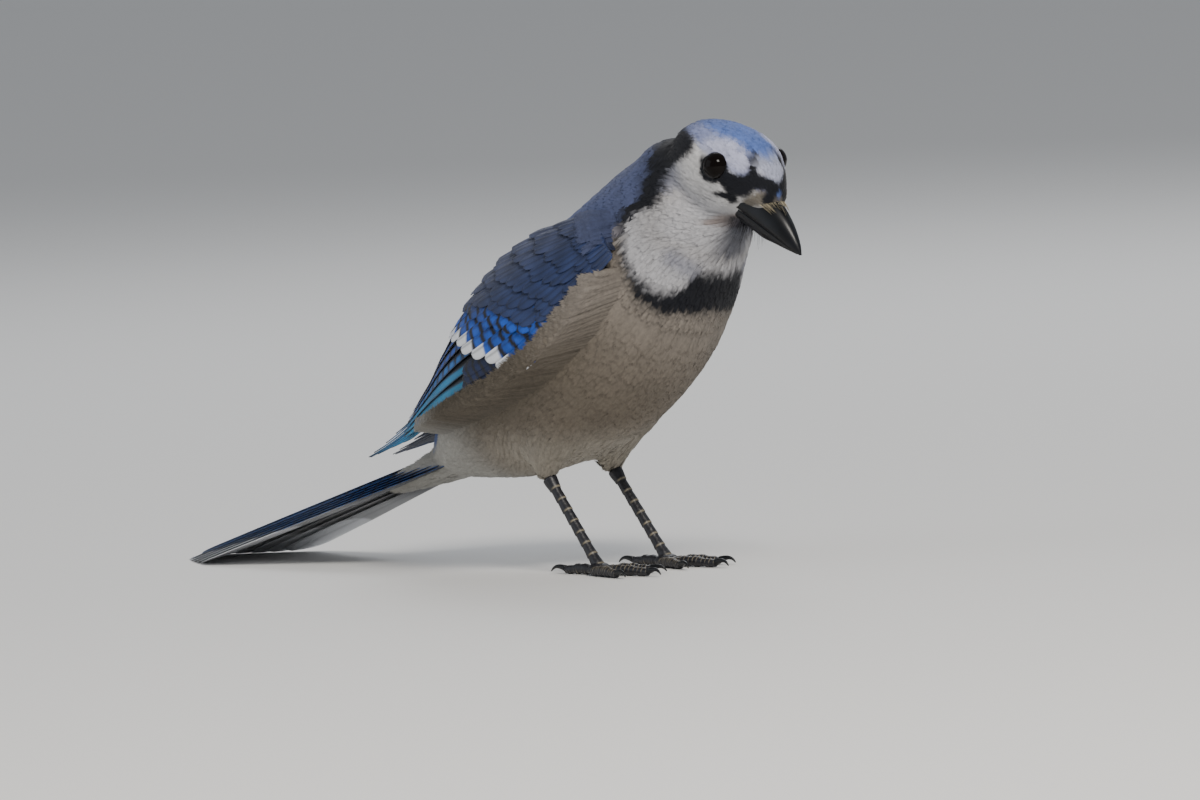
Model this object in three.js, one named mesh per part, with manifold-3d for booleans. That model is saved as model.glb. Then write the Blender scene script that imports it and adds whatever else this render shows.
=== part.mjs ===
// A still, life-size blue jay, millimetres, +Z up. It faces +X, its left side is +Y, and it stands on the plane Z = 0.
// The trunk, neck and head are lofts through a few named stations, fused and then parted by thin cuts.
// Wing, tail and crest feathers are thin tapered vanes laid in overlapping tiers.
import * as THREE from "three";
import { mergeVertices } from "three/addons/utils/BufferGeometryUtils.js";
import Module from "manifold-3d";

const wasm = await Module();
wasm.setup();

// Driving sizes
const GAP = 0.3; // clearance kept between two neighbouring pieces
const EYE_RADIUS = 4.1;
const BILL_LENGTH = 24; // from the nostrils to the tip
const TAIL_LENGTH = 128;
const TAIL_SLOPE_DEG = 16.6; // below the horizontal, so that its tip rests on the floor
const SHANK_RADIUS = 1.45;
const TOE_RADIUS = 1.35;
const CLAW_LENGTH = 5.8;
const HIND_CLAW_LENGTH = 7.2;
const VANE_THICKNESS = 0.55;
const TRUNK_SIDES = 28;

// Poses
const HEAD_CENTRE = new THREE.Vector3(46.5, -0.5, 119.7); // midway between the eyes
const HEAD_PITCH_DEG = 31; // the bill points down by this much
const HEAD_YAW_DEG = 4; // and is turned to the bird's right
const TAIL_ROOT = new THREE.Vector3(-74, 0, 35.5);
const FOOT = { x: -9, y: 14 };
const HEEL = { x: -29, y: 13.5, z: 29 };

// Small helpers
const radians = THREE.MathUtils.degToRad;
const lerp = THREE.MathUtils.lerp;
const vec = (x, y, z) => new THREE.Vector3(x, y, z);

// Catmull-Rom through rows of named numbers, at the fraction t of the list.
function blendRows(rows, t) {
  const place = THREE.MathUtils.clamp(t, 0, 1) * (rows.length - 1);
  const i = Math.min(Math.floor(place), rows.length - 2);
  const u = place - i;
  const at = (k) => rows[THREE.MathUtils.clamp(k, 0, rows.length - 1)];
  const result = {};
  for (const key of Object.keys(rows[0])) {
    const [a, b, c, d] = [at(i - 1)[key], at(i)[key], at(i + 1)[key], at(i + 2)[key]];
    const slopeIn = (c - a) / 2;
    const slopeOut = (d - b) / 2;
    const u2 = u * u;
    const u3 = u2 * u;
    result[key] =
      (2 * u3 - 3 * u2 + 1) * b +
      (u3 - 2 * u2 + u) * slopeIn +
      (3 * u2 - 2 * u3) * c +
      (u3 - u2) * slopeOut;
  }
  return result;
}

// A closed geometry from rings of points, each ring listed anticlockwise about the direction of travel.
function skinRings(rings, firstPole, lastPole) {
  const sides = rings[0].length;
  const positions = [];
  rings.forEach((ring) => ring.forEach((p) => positions.push(p.x, p.y, p.z)));
  const first = rings.length * sides;
  const last = first + 1;
  positions.push(firstPole.x, firstPole.y, firstPole.z, lastPole.x, lastPole.y, lastPole.z);
  const index = [];
  for (let r = 0; r + 1 < rings.length; r++) {
    for (let s = 0; s < sides; s++) {
      const a = r * sides + s;
      const b = r * sides + ((s + 1) % sides);
      index.push(a, b, b + sides, a, b + sides, a + sides);
    }
  }
  for (let s = 0; s < sides; s++) {
    const next = (s + 1) % sides;
    const end = (rings.length - 1) * sides;
    index.push(first, next, s);
    index.push(last, end + s, end + next);
  }
  const geometry = new THREE.BufferGeometry();
  geometry.setAttribute("position", new THREE.Float32BufferAttribute(positions, 3));
  geometry.setIndex(index);
  return geometry;
}

function solidFrom(geometry, nearest = 1e-4) {
  const bare = geometry.index ? geometry.clone() : geometry;
  for (const name of ["normal", "uv"]) {
    bare.deleteAttribute(name);
  }
  const merged = mergeVertices(bare, nearest);
  const triVerts = new Uint32Array(merged.index.array);
  const make = () =>
    new wasm.Manifold(
      new wasm.Mesh({ numProp: 3, vertProperties: merged.attributes.position.array, triVerts }),
    );
  const solid = make();
  if (solid.volume() > 0) return solid;
  for (let i = 0; i < triVerts.length; i += 3) {
    [triVerts[i + 1], triVerts[i + 2]] = [triVerts[i + 2], triVerts[i + 1]];
  }
  return make();
}

function geometryFrom(solid) {
  const mesh = solid.getMesh();
  const positions = new Float32Array(mesh.numVert * 3);
  for (let i = 0; i < mesh.numVert; i++) {
    positions.set(mesh.vertProperties.subarray(i * mesh.numProp, i * mesh.numProp + 3), i * 3);
  }
  const geometry = new THREE.BufferGeometry();
  geometry.setAttribute("position", new THREE.BufferAttribute(positions, 3));
  geometry.setIndex(new THREE.BufferAttribute(mesh.triVerts, 1));
  return geometry;
}

// The largest closed surface of a solid, so that sealed hollows and loose scraps go, and slivers finer than FINEST.
const FINEST = 0.05;
const SAME_POINT = 2e-3;

function biggestPart(solid) {
  return solid.decompose().reduce((best, piece) => (piece.volume() > best.volume() ? piece : best));
}

function largest(solid) {
  const kept = biggestPart(solid).simplify(FINEST);
  return biggestPart(solidFrom(geometryFrom(kept), SAME_POINT));
}

function fuse(solids) {
  return largest(wasm.Manifold.union(solids));
}

function boxSolid(low, high) {
  const geometry = new THREE.BoxGeometry(high.x - low.x, high.y - low.y, high.z - low.z);
  geometry.translate((low.x + high.x) / 2, (low.y + high.y) / 2, (low.z + high.z) / 2);
  return solidFrom(geometry);
}

// A big block that fills everything on the side of the plane that its normal points to.
function halfSpace(point, normal, shift = 0) {
  const size = 400;
  const geometry = new THREE.BoxGeometry(size, size, size);
  geometry.translate(0, 0, size / 2 + shift);
  geometry.applyQuaternion(new THREE.Quaternion().setFromUnitVectors(vec(0, 0, 1), normal.clone().normalize()));
  geometry.translate(point.x, point.y, point.z);
  return solidFrom(geometry);
}

const FLOOR = boxSolid(vec(-400, -400, -100), vec(400, 400, 0));

// The ring of an oval section about a centre, with its own reach up, down and to each side.
function ovalRing(centre, upward, sideways, size, sides, grow = 0) {
  return Array.from({ length: sides }, (_, s) => {
    const angle = (2 * Math.PI * s) / sides;
    const rise = Math.cos(angle) * ((Math.cos(angle) > 0 ? size.up : size.down) + grow);
    const reach = Math.sin(angle) * (size.side + grow);
    return centre.clone().addScaledVector(upward, rise).addScaledVector(sideways, reach);
  });
}

// A loft in the plane Y = 0: rows hold x, z and the section's side, up and down. upward is the way to the back,
// whichever way the rows run.
function trunkRow(rows, t) {
  const row = blendRows(rows, t);
  const step = 0.01;
  const before = blendRows(rows, t - step);
  const after = blendRows(rows, t + step);
  const along = vec(after.x - before.x, 0, after.z - before.z).normalize();
  const upward = vec(-along.z, 0, along.x).multiplyScalar(Math.sign(along.x));
  return { row, centre: vec(row.x, 0, row.z), along, upward };
}

function trunkLoft(rows, count, grow = 0) {
  const rings = Array.from({ length: count }, (_, i) => {
    const { row, centre, upward } = trunkRow(rows, i / (count - 1));
    return ovalRing(centre, upward, vec(0, -1, 0), row, TRUNK_SIDES, grow);
  });
  const first = trunkRow(rows, 0);
  const last = trunkRow(rows, 1);
  const poleReach = 0.35;
  const firstPole = first.centre.clone().addScaledVector(first.along, -(first.row.up + grow) * poleReach);
  const lastPole = last.centre.clone().addScaledVector(last.along, (last.row.up + grow) * poleReach);
  return solidFrom(skinRings(rings, firstPole, lastPole));
}

// Trunk, from the tail's root to inside the head. up is the back and down is the belly.
const TRUNK = [
  { x: -83, z: 35, side: 9, up: 5.5, down: 7 },
  { x: -74, z: 38.5, side: 15.5, up: 10.5, down: 13.5 },
  { x: -60, z: 46.5, side: 23, up: 20, down: 22 },
  { x: -43, z: 56.5, side: 29, up: 27, down: 28 },
  { x: -25, z: 67.5, side: 32, up: 30.5, down: 32 },
  { x: -7, z: 79.5, side: 30.5, up: 30, down: 31 },
  { x: 8, z: 92, side: 26, up: 27.5, down: 27.5 },
  { x: 20, z: 102, side: 20.5, up: 25.5, down: 23 },
  { x: 30, z: 109.5, side: 16, up: 21.5, down: 18 },
];

// Head, along the bill's direction from the nape to the bill. z is above the line of the eyes.
const HEAD = [
  { x: -22, z: -5, side: 9.5, up: 8, down: 8 },
  { x: -17, z: -3.5, side: 13, up: 9.6, down: 11.6 },
  { x: -9, z: -1.5, side: 14.8, up: 10.2, down: 14.8 },
  { x: -2, z: 0, side: 14, up: 9.7, down: 15.6 },
  { x: 4, z: -0.8, side: 12.2, up: 10.7, down: 14.2 },
  { x: 9, z: -2, side: 9.6, up: 10.5, down: 11.6 },
  { x: 13, z: -2.8, side: 7.2, up: 9.2, down: 7.2 },
  { x: 16.5, z: -3.4, side: 5, up: 6.9, down: 3.2 },
];

// Upper and lower half of the bill, from the gape to the tip, along the mouth line.
const UPPER_BILL = [
  { x: -5, side: 8, height: 6 },
  { x: 0, side: 6.8, height: 7.3 },
  { x: 5, side: 5.8, height: 7.3 },
  { x: 10, side: 4.9, height: 6.6 },
  { x: 15, side: 3.8, height: 5.4 },
  { x: 19, side: 2.7, height: 3.9 },
  { x: 22.5, side: 1.5, height: 2.2 },
  { x: BILL_LENGTH + 0.8, side: 0.4, height: 0.6 },
];
const LOWER_BILL = [
  { x: -5, side: 7.8, height: 4.6 },
  { x: 0, side: 6.5, height: 5.2 },
  { x: 5, side: 5.4, height: 5 },
  { x: 10, side: 4.4, height: 4.8 },
  { x: 15, side: 3.2, height: 3.4 },
  { x: 19, side: 2.1, height: 2.2 },
  { x: BILL_LENGTH - 0.8, side: 0.5, height: 0.6 },
];
const NOSE_BULGE = 3.2; // how far the face rounds off in front of its last row
const NAPE_BULGE = 2.5;
const BILL_ROOT = vec(8.5, 0, -8);
const BILL_DROP_DEG = 2; // the mouth line falls a little below the head's own axis
const BILL_HOOK = 1.1; // how far both tips bend down
const BILL_ROOM = 3; // the hollow in the face reaches this much further back than the bill

// Frame of the head: a matrix from its own axes, x to the bill and z to the crown, to the bird's.
const headMatrix = new THREE.Matrix4()
  .makeTranslation(HEAD_CENTRE.x, HEAD_CENTRE.y, HEAD_CENTRE.z)
  .multiply(new THREE.Matrix4().makeRotationZ(-radians(HEAD_YAW_DEG)))
  .multiply(new THREE.Matrix4().makeRotationY(radians(HEAD_PITCH_DEG)));

function toHead(geometry) {
  return solidFrom(geometry.applyMatrix4(headMatrix));
}

function headLoft() {
  const count = 15;
  const rings = Array.from({ length: count }, (_, i) => {
    const row = blendRows(HEAD, i / (count - 1));
    return ovalRing(vec(row.x, 0, row.z), vec(0, 0, 1), vec(0, -1, 0), row, TRUNK_SIDES);
  });
  const first = HEAD[0];
  const last = HEAD[HEAD.length - 1];
  const nosePole = vec(last.x + NOSE_BULGE, 0, last.z);
  const napePole = vec(first.x - NAPE_BULGE, 0, first.z);
  return toHead(skinRings(rings, napePole, nosePole));
}

// One half of the bill: flat along the mouth line, arched above it or, with lower, below it.
function billHalf(rows, lower, grow = 0, reachBack = 0) {
  const count = 12;
  const arch = 9;
  const sign = lower ? -1 : 1;
  const rings = Array.from({ length: count }, (_, i) => {
    const t = i / (count - 1);
    const row = blendRows(rows, t);
    const dip = -BILL_HOOK * (row.x / BILL_LENGTH) ** 4;
    const ring = Array.from({ length: arch }, (_, s) => {
      const angle = Math.PI * (s / (arch - 1));
      const narrow = Math.sin(angle) ** 0.85;
      return vec(row.x, Math.cos(angle) * (row.side + grow), dip + sign * (GAP / 2 - grow + narrow * (row.height + 2 * grow)));
    });
    return lower ? ring : ring.reverse();
  });
  if (reachBack > 0) {
    rings.unshift(rings[0].map((p) => p.clone().setX(p.x - reachBack)));
  }
  const back = rings[0].reduce((sum, p) => sum.add(p), vec(0, 0, 0)).divideScalar(arch);
  const front = rings[rings.length - 1].reduce((sum, p) => sum.add(p), vec(0, 0, 0)).divideScalar(arch);
  front.x += 0.4 + grow;
  const geometry = skinRings(rings, back, front);
  geometry.rotateY(radians(BILL_DROP_DEG));
  geometry.translate(BILL_ROOT.x, BILL_ROOT.y, BILL_ROOT.z);
  return toHead(geometry);
}

// A thin vane with a flat section. path holds the middle line's point, its outward normal and the half width.
function vane(path, thickness = VANE_THICKNESS) {
  const rings = path.map(({ point, normal, half }, i) => {
    const next = path[Math.min(i + 1, path.length - 1)].point;
    const previous = path[Math.max(i - 1, 0)].point;
    const along = next.clone().sub(previous).normalize();
    const across = new THREE.Vector3().crossVectors(normal, along).normalize();
    const outward = new THREE.Vector3().crossVectors(along, across).normalize();
    const corner = (sideways, up) =>
      point.clone().addScaledVector(across, sideways * half).addScaledVector(outward, (up * thickness) / 2);
    return [corner(1, -1), corner(1, 1), corner(-1, 1), corner(-1, -1)];
  });
  const positions = rings.flat().flatMap((p) => [p.x, p.y, p.z]);
  const index = [];
  for (let r = 0; r + 1 < rings.length; r++) {
    for (let s = 0; s < 4; s++) {
      const a = r * 4 + s;
      const b = r * 4 + ((s + 1) % 4);
      if (s === 1) {
        index.push(a, b, a + 4, b, b + 4, a + 4);
      } else {
        index.push(a, b, b + 4, a, b + 4, a + 4);
      }
    }
  }
  const end = (rings.length - 1) * 4;
  index.push(0, 3, 1, 1, 3, 2);
  index.push(end, end + 1, end + 3, end + 1, end + 2, end + 3);
  const geometry = new THREE.BufferGeometry();
  geometry.setAttribute("position", new THREE.Float32BufferAttribute(positions, 3));
  geometry.setIndex(index);
  return solidFrom(geometry);
}

// Width of a feather along its length, as shares of its full half width: narrow root, broad end, rounded tip.
const FEATHER_OUTLINE = [
  [0, 0.5],
  [0.4, 0.85],
  [0.75, 1],
  [0.92, 0.78],
  [1, 0.28],
];
const SHORT_OUTLINE = [
  [0, 0.75],
  [0.55, 1],
  [0.86, 0.8],
  [1, 0.3],
];

// Folded wing: a patch round its own middle line, from the shoulder to the tip, between an upper and a lower edge.
const WING = [
  { x: 14, z: 97, side: 25.5, up: 24, upper: 52, lower: 96 },
  { x: -4, z: 82, side: 33.5, up: 31, upper: 36, lower: 104 },
  { x: -23, z: 68.5, side: 35.5, up: 33, upper: 26, lower: 104 },
  { x: -42, z: 58, side: 32.5, up: 29.5, upper: 18, lower: 100 },
  { x: -59, z: 50.5, side: 26.5, up: 22, upper: 10, lower: 94 },
  { x: -75, z: 44.5, side: 19, up: 13.5, upper: 8, lower: 88 },
  { x: -90, z: 38.5, side: 12.5, up: 8, upper: 14, lower: 84 },
  { x: -103, z: 34, side: 8.5, up: 5.2, upper: 24, lower: 76 },
  { x: -115, z: 30.5, side: 6, up: 3.2, upper: 40, lower: 66 },
];

// Point and outward normal of the right wing's surface at a along, b from the upper to the lower edge, and lift above it.
function wingSurface(a, b, lift) {
  const { row, centre, upward } = trunkRow(WING, a);
  const angle = radians(lerp(row.upper, row.lower, b));
  const side = vec(0, -1, 0);
  const normal = upward
    .clone()
    .multiplyScalar(Math.cos(angle) / row.up)
    .addScaledVector(side, Math.sin(angle) / row.side)
    .normalize();
  const point = centre
    .clone()
    .addScaledVector(upward, Math.cos(angle) * row.up)
    .addScaledVector(side, Math.sin(angle) * row.side)
    .addScaledVector(normal, lift);
  return { point, normal };
}

// Feathers lie in lanes side by side, so that the tiers nest: lane 0 runs along the back, the last one along the belly.
const LANES = 7;
const LANE_EDGE = 0.05;
const SECTION_RADIUS = 30; // of the wing's section, about

function laneAt(lane) {
  return lerp(LANE_EDGE, 1 - LANE_EDGE, lane / (LANES - 1));
}

// Roll that lifts a vane's lower edge over its neighbour's upper edge, a pitch away, with a little air between.
function shingleRoll(pitch, half, radius) {
  const needed = (VANE_THICKNESS + GAP) / pitch + Math.max(0, 2 * half - pitch) / (2 * radius);
  return Math.asin(Math.min(0.5, needed));
}

// A feather on the wing from [a, b] to [a, b]. widths and pitch are shares of the distance between two lanes.
function wingFeather({ from, to, wide, crowd = 1, rootLift = -1.6, tipLift = 1.5, outline = FEATHER_OUTLINE }) {
  const path = outline.map(([share, width]) => {
    const at = (s, lift) => wingSurface(lerp(from[0], to[0], s), lerp(from[1], to[1], s), lift);
    const lift = lerp(rootLift, tipLift, share ** 0.8);
    const { point, normal } = at(share, lift);
    const a = lerp(from[0], to[0], share);
    const b = lerp(from[1], to[1], share);
    const pitch = (crowd * wingSurface(a, b, 0).point.distanceTo(wingSurface(a, b + 0.1, 0).point)) / (0.1 * (LANES - 1));
    const half = wide * pitch * width;
    const along = at(share + 0.02, lift).point.sub(at(share - 0.02, lift).point).normalize();
    normal.applyAxisAngle(along, shingleRoll(pitch, half, SECTION_RADIUS));
    return { point, normal, half };
  });
  return vane(path);
}

// A row of feathers across the lanes, each varied a little by its number.
function wingRow({ first = 0, last = LANES - 1, root, tip, wide = 0.82, ...rest }) {
  const pieces = [];
  for (let lane = first; lane <= last; lane++) {
    const b = laneAt(lane);
    const share = (lane - first) / Math.max(1, last - first);
    const end = lerp(tip[0], tip[1], share) + 0.005 * Math.sin(lane * 2.3);
    pieces.push(wingFeather({ from: [lerp(root[0], root[1], share), b], to: [end, b], wide, ...rest }));
  }
  return pieces;
}

// Coverts from the shoulder backwards, then the secondaries with the tertials in the upper lanes. root and tip hold
// the upper and the lower lane's place: the covert tips slant forward to the wing's lower edge.
const WING_ROWS = [
  { root: [0.03, 0.02], tip: [0.21, 0.1], first: 1, last: 5, outline: SHORT_OUTLINE },
  { root: [0.17, 0.05], tip: [0.36, 0.16], outline: SHORT_OUTLINE },
  { root: [0.32, 0.1], tip: [0.54, 0.25], outline: SHORT_OUTLINE },
  { root: [0.24, 0.22], tip: [0.42, 0.4], first: 5, last: 6, rootLift: -1.9, tipLift: 0.9 },
  { root: [0.34, 0.34], tip: [0.66, 0.7], first: 0, last: 1 },
  { root: [0.33, 0.33], tip: [0.72, 0.74], first: 2, last: 6, rootLift: -1.8 },
];

// Long primaries under the secondaries: they close towards the wing's tip, and the third from below is the longest.
const PRIMARIES = [
  { from: [0.44, 0.97], to: [0.82, 0.96] },
  { from: [0.44, 0.89], to: [0.92, 0.86] },
  { from: [0.45, 0.81], to: [0.985, 0.74] },
  { from: [0.45, 0.73], to: [1, 0.58] },
  { from: [0.46, 0.65], to: [0.95, 0.44] },
  { from: [0.46, 0.57], to: [0.89, 0.32] },
];

function primaries() {
  return PRIMARIES.map((feather) =>
    wingFeather({ ...feather, wide: 1.25, crowd: 0.9, rootLift: -2.6, tipLift: -0.6 }),
  );
}

// The wing's arm and hand under the coverts: a thin shell over the trunk that holds every feather's root.
function wingCore() {
  const stations = 9;
  const strips = 6;
  const rings = Array.from({ length: stations }, (_, i) => {
    const a = lerp(0, 0.56, i / (stations - 1));
    const fade = Math.min(1, (stations - 1 - i) / 2 + 0.25);
    const outer = [];
    const inner = [];
    for (let k = 0; k < strips; k++) {
      const b = lerp(0.04, 0.98, k / (strips - 1));
      outer.push(wingSurface(a, b, -1.9 + fade).point);
      inner.push(wingSurface(a, b, -4).point);
    }
    return [...outer, ...inner.reverse()];
  });
  const middle = (ring) => ring.reduce((sum, p) => sum.add(p), vec(0, 0, 0)).divideScalar(ring.length);
  return solidFrom(skinRings(rings, middle(rings[0]), middle(rings[stations - 1])));
}

// Tail: six pairs of feathers, the middle pair on top and longest, each pair outwards lower and shorter.
const TAIL_PAIRS = 6;
const TAIL_STEP = VANE_THICKNESS + GAP; // each pair lies this much under the one inside it
const TAIL_HALF_WIDTH = 6.4;
const TAIL_TOP = 2; // the middle pair's height above the tail's middle sheet

// Unit vectors of the tail's root: backwards along it, and up out of it.
const tailBack = vec(-Math.cos(radians(TAIL_SLOPE_DEG)), 0, -Math.sin(radians(TAIL_SLOPE_DEG)));
const tailUp = vec(-Math.sin(radians(TAIL_SLOPE_DEG)), 0, Math.cos(radians(TAIL_SLOPE_DEG)));

// Point on the tail's sheet: along from its root, across to the left, lift above it. It is slightly arched.
function tailPoint(along, across, lift) {
  const arch = -0.003 * across * across;
  return TAIL_ROOT.clone()
    .addScaledVector(tailBack, along)
    .addScaledVector(tailUp, arch + lift)
    .add(vec(0, across, 0));
}

// Share of the tail feather's length, share of its half width.
const TAIL_OUTLINE = [
  [0, 0.4],
  [0.35, 0.7],
  [0.66, 0.95],
  [0.86, 1],
  [0.955, 0.72],
  [1, 0.22],
];

function tailFeather(pair, side) {
  const length = TAIL_LENGTH - 2.2 * pair ** 1.35;
  const endAcross = pair === 0 ? 1.2 : TAIL_HALF_WIDTH + 0.3 + 2.9 * (pair - 1);
  const rootAcross = pair === 0 ? 0.3 : 2.9 + 0.75 * (pair - 1);
  const level = pair === 0 ? (side > 0 ? 0 : 1) : pair + 1;
  const start = 5;
  const path = TAIL_OUTLINE.map(([share, width]) => {
    const across = side * lerp(rootAcross, endAcross, share);
    const point = tailPoint(lerp(start, length, share), across, TAIL_TOP - TAIL_STEP * level);
    const normal = tailUp.clone().applyAxisAngle(vec(-1, 0, 0), -0.006 * across);
    return { point, normal, half: TAIL_HALF_WIDTH * width };
  });
  return vane(path);
}

// The root of the tail with its coverts: a flattened tapering plug that carries every tail feather.
const TAIL_PLUG = [
  { x: 2, side: 9, up: 6, down: 8 },
  { x: 14, side: 9, up: 5, down: 7.6 },
  { x: 26, side: 8.4, up: 3.8, down: 6.4 },
  { x: 38, side: 7, up: 2.6, down: 5 },
];

function tailPlug() {
  const count = 9;
  const rings = Array.from({ length: count }, (_, i) => {
    const row = blendRows(TAIL_PLUG, i / (count - 1));
    return ovalRing(tailPoint(row.x, 0, 0), tailUp, vec(0, 1, 0), row, 20);
  });
  return solidFrom(skinRings(rings, tailPoint(0, 0, 0), tailPoint(39, 0, -1)));
}

// Coverts over and under the tail's root, as short vanes in rows.
function tailCovert(along, length, across, lift, half, side) {
  const path = SHORT_OUTLINE.map(([share, width]) => {
    const point = tailPoint(along + length * share, across * (1 + 0.25 * share), lift(along + length * share));
    const normal = tailUp.clone().multiplyScalar(side);
    normal.applyAxisAngle(vec(-1, 0, 0), -0.05 * across);
    return { point, normal, half: half * width };
  });
  return vane(path);
}

const OVER_TAIL = [
  [20, -4.6],
  [20, 4.6],
  [26, 0],
];
const UNDER_TAIL = [
  [18, -5],
  [18, 5],
  [24, 0],
  [30, -5],
  [30, 5],
];

function buildTail() {
  const pieces = [tailPlug()];
  for (let pair = 0; pair < TAIL_PAIRS; pair++) {
    pieces.push(tailFeather(pair, 1), tailFeather(pair, -1));
  }
  OVER_TAIL.forEach(([along, across]) => {
    pieces.push(tailCovert(along, 20, across, (x) => 5.8 - 0.06 * x, 3.8, 1));
  });
  UNDER_TAIL.forEach(([along, across]) => {
    pieces.push(tailCovert(along, 24, across, (x) => -9 + 0.075 * x, 4.4, -1));
  });
  return fuse(pieces);
}

// Crest, lying flat: rows of vanes over the crown that reach back over the nape. Angle is from the crown's middle.
function headSurface(x, angleDeg, lift) {
  const span = HEAD[HEAD.length - 1].x - HEAD[0].x;
  let t = (x - HEAD[0].x) / span;
  for (let i = 0; i < 6; i++) {
    t += (x - blendRows(HEAD, t).x) / span;
  }
  const row = blendRows(HEAD, t);
  const angle = radians(angleDeg);
  const normal = vec(0, -Math.sin(angle) / row.side, Math.cos(angle) / row.up).normalize();
  return {
    point: vec(row.x, -Math.sin(angle) * row.side, row.z + Math.cos(angle) * row.up).addScaledVector(normal, lift),
    normal,
  };
}

function crestVane(x, angleDeg, length, half, rise) {
  const path = SHORT_OUTLINE.map(([share, width]) => {
    const base = headSurface(Math.max(x - length * share, -20), angleDeg * (1 - 0.1 * share), -1 + rise * share);
    const past = Math.min(0, x - length * share + 20);
    base.point.x += past;
    base.point.applyMatrix4(headMatrix);
    base.normal.transformDirection(headMatrix);
    return { point: base.point, normal: base.normal, half: half * width };
  });
  return vane(path, 0.7);
}

const CREST_ROWS = [
  { x: 4, spread: 30, count: 2, length: 12, rise: 1.6 },
  { x: -3, spread: 44, count: 3, length: 13, rise: 1.8 },
  { x: -11, spread: 30, count: 3, length: 15, rise: 2.4 },
];

function crest() {
  const pieces = [];
  CREST_ROWS.forEach(({ x, spread, count, length, rise }) => {
    for (let i = 0; i < count; i++) {
      const angle = lerp(-spread, spread, i / (count - 1));
      pieces.push(crestVane(x, angle, length - 0.03 * Math.abs(angle), 3.6, rise));
    }
  });
  return pieces;
}

// Bristles that lie over each nostril, as two small vanes a side along the bill.
function bristles() {
  const pieces = [];
  [-1, 1].forEach((side) => {
    [0, 1].forEach((k) => {
      const path = [0, 0.5, 1].map((share) => {
        const point = vec(14 + 7.5 * share, side * (5.2 - 2.2 * k - 0.7 * share), -3.2 + 2.4 * k - 1.9 * share);
        const normal = vec(0.25, side * (1 - 0.45 * k), 0.5 + 0.5 * k).normalize();
        return {
          point: point.applyMatrix4(headMatrix),
          normal: normal.transformDirection(headMatrix),
          half: lerp(1.5, 0.4, share),
        };
      });
      pieces.push(vane(path, 0.8));
    });
  });
  return pieces;
}

// Eyes, their lids and sockets.
const EYE_PLACE = { x: 0, y: 10.9, z: 1.4 };
const LID_THICKNESS = 1.5;
const LID_OVERLAP = 0.15; // how far the lids' middle line lies inside the eye's edge

function eyeCentre(side) {
  return vec(EYE_PLACE.x, side * EYE_PLACE.y, EYE_PLACE.z).applyMatrix4(headMatrix);
}

function eyeBall(side, grow = 0) {
  const geometry = new THREE.SphereGeometry(EYE_RADIUS + grow, 16, 10);
  const centre = eyeCentre(side);
  geometry.translate(centre.x, centre.y, centre.z);
  return solidFrom(geometry);
}

function eyeLids(side) {
  const ring = new THREE.TorusGeometry(EYE_RADIUS - LID_OVERLAP, LID_THICKNESS / 2, 5, 16);
  ring.rotateX(Math.PI / 2);
  ring.rotateZ(side * radians(-14));
  ring.rotateX(side * radians(6));
  ring.translate(EYE_PLACE.x + 0.3, side * (EYE_PLACE.y + 1.75), EYE_PLACE.z);
  return toHead(ring);
}

// A tapering round limb along a list of points, with a radius at each.
function limb(points, radii, sides) {
  const rings = points.map((point, i) => {
    const next = points[Math.min(i + 1, points.length - 1)];
    const previous = points[Math.max(i - 1, 0)];
    const along = next.clone().sub(previous).normalize();
    const across = vec(0, 1, 0).addScaledVector(along, -along.y).normalize();
    const upward = new THREE.Vector3().crossVectors(along, across);
    return Array.from({ length: sides }, (_, s) => {
      const angle = (2 * Math.PI * s) / sides;
      return point
        .clone()
        .addScaledVector(across, Math.cos(angle) * radii[i])
        .addScaledVector(upward, Math.sin(angle) * radii[i]);
    });
  });
  return solidFrom(skinRings(rings, points[0], points[points.length - 1]));
}

// Feathered thigh: from inside the belly down to the heel.
function thigh(side, grow = 0) {
  const top = vec(-21, side * 12, 52);
  const heel = vec(HEEL.x, side * HEEL.y, HEEL.z);
  const shares = [0, 0.3, 0.55, 0.75, 0.9, 1];
  const radii = [14, 12, 9, 6.2, 4.2, 3].map((r) => r + grow);
  const points = shares.map((share) => {
    const point = top.clone().lerp(heel, share * 1.06);
    point.x -= 3 * Math.sin(Math.PI * share);
    return point;
  });
  return limb(points, radii, 14);
}

// Bare shank with raised scutes down its front, ending in the ball of the foot.
function shank(side) {
  const heel = vec(HEEL.x + 0.5, side * HEEL.y, HEEL.z - 1);
  const ball = vec(FOOT.x, side * FOOT.y, 2.3);
  const scutes = 7;
  const points = [];
  const radii = [];
  for (let i = 0; i <= scutes * 2; i++) {
    const share = i / (scutes * 2);
    points.push(heel.clone().lerp(ball, share));
    const joint = 0.75 * Math.exp(-((share / 0.09) ** 2)) + 0.35 * Math.exp(-(((1 - share) / 0.12) ** 2));
    radii.push(SHANK_RADIUS + joint + (i % 2 ? 0.16 : 0));
  }
  const knuckle = new THREE.SphereGeometry(1, 12, 7);
  knuckle.scale(2.9, 4.1, 2.1);
  knuckle.translate(ball.x, ball.y, 1.7);
  return fuse([limb(points, radii, 8), solidFrom(knuckle)]).subtract(FLOOR);
}

// Toes: offset of the root across the foot, direction and length. The hind toe points back.
const TOES = [
  { name: "hind", across: 0, turn: 180, length: 12.5 },
  { name: "inner", across: 2.75, turn: 20, length: 13.5 },
  { name: "middle", across: 0, turn: 0, length: 19.5 },
  { name: "outer", across: -2.75, turn: -17, length: 14.5 },
];

// Root, direction and end of a toe. across and turn are towards the bird's middle.
function toeLine(toe, side) {
  const inward = -side;
  const turn = radians(toe.turn) * inward;
  const along = vec(Math.cos(turn), Math.sin(turn), 0);
  const root = vec(FOOT.x, side * FOOT.y + inward * toe.across, TOE_RADIUS - 0.1);
  const start = root.clone().addScaledVector(along, toe.turn === 180 ? 1.5 : 1.2);
  const end = start.clone().addScaledVector(along, toe.length);
  return { along, start, end };
}

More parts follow.
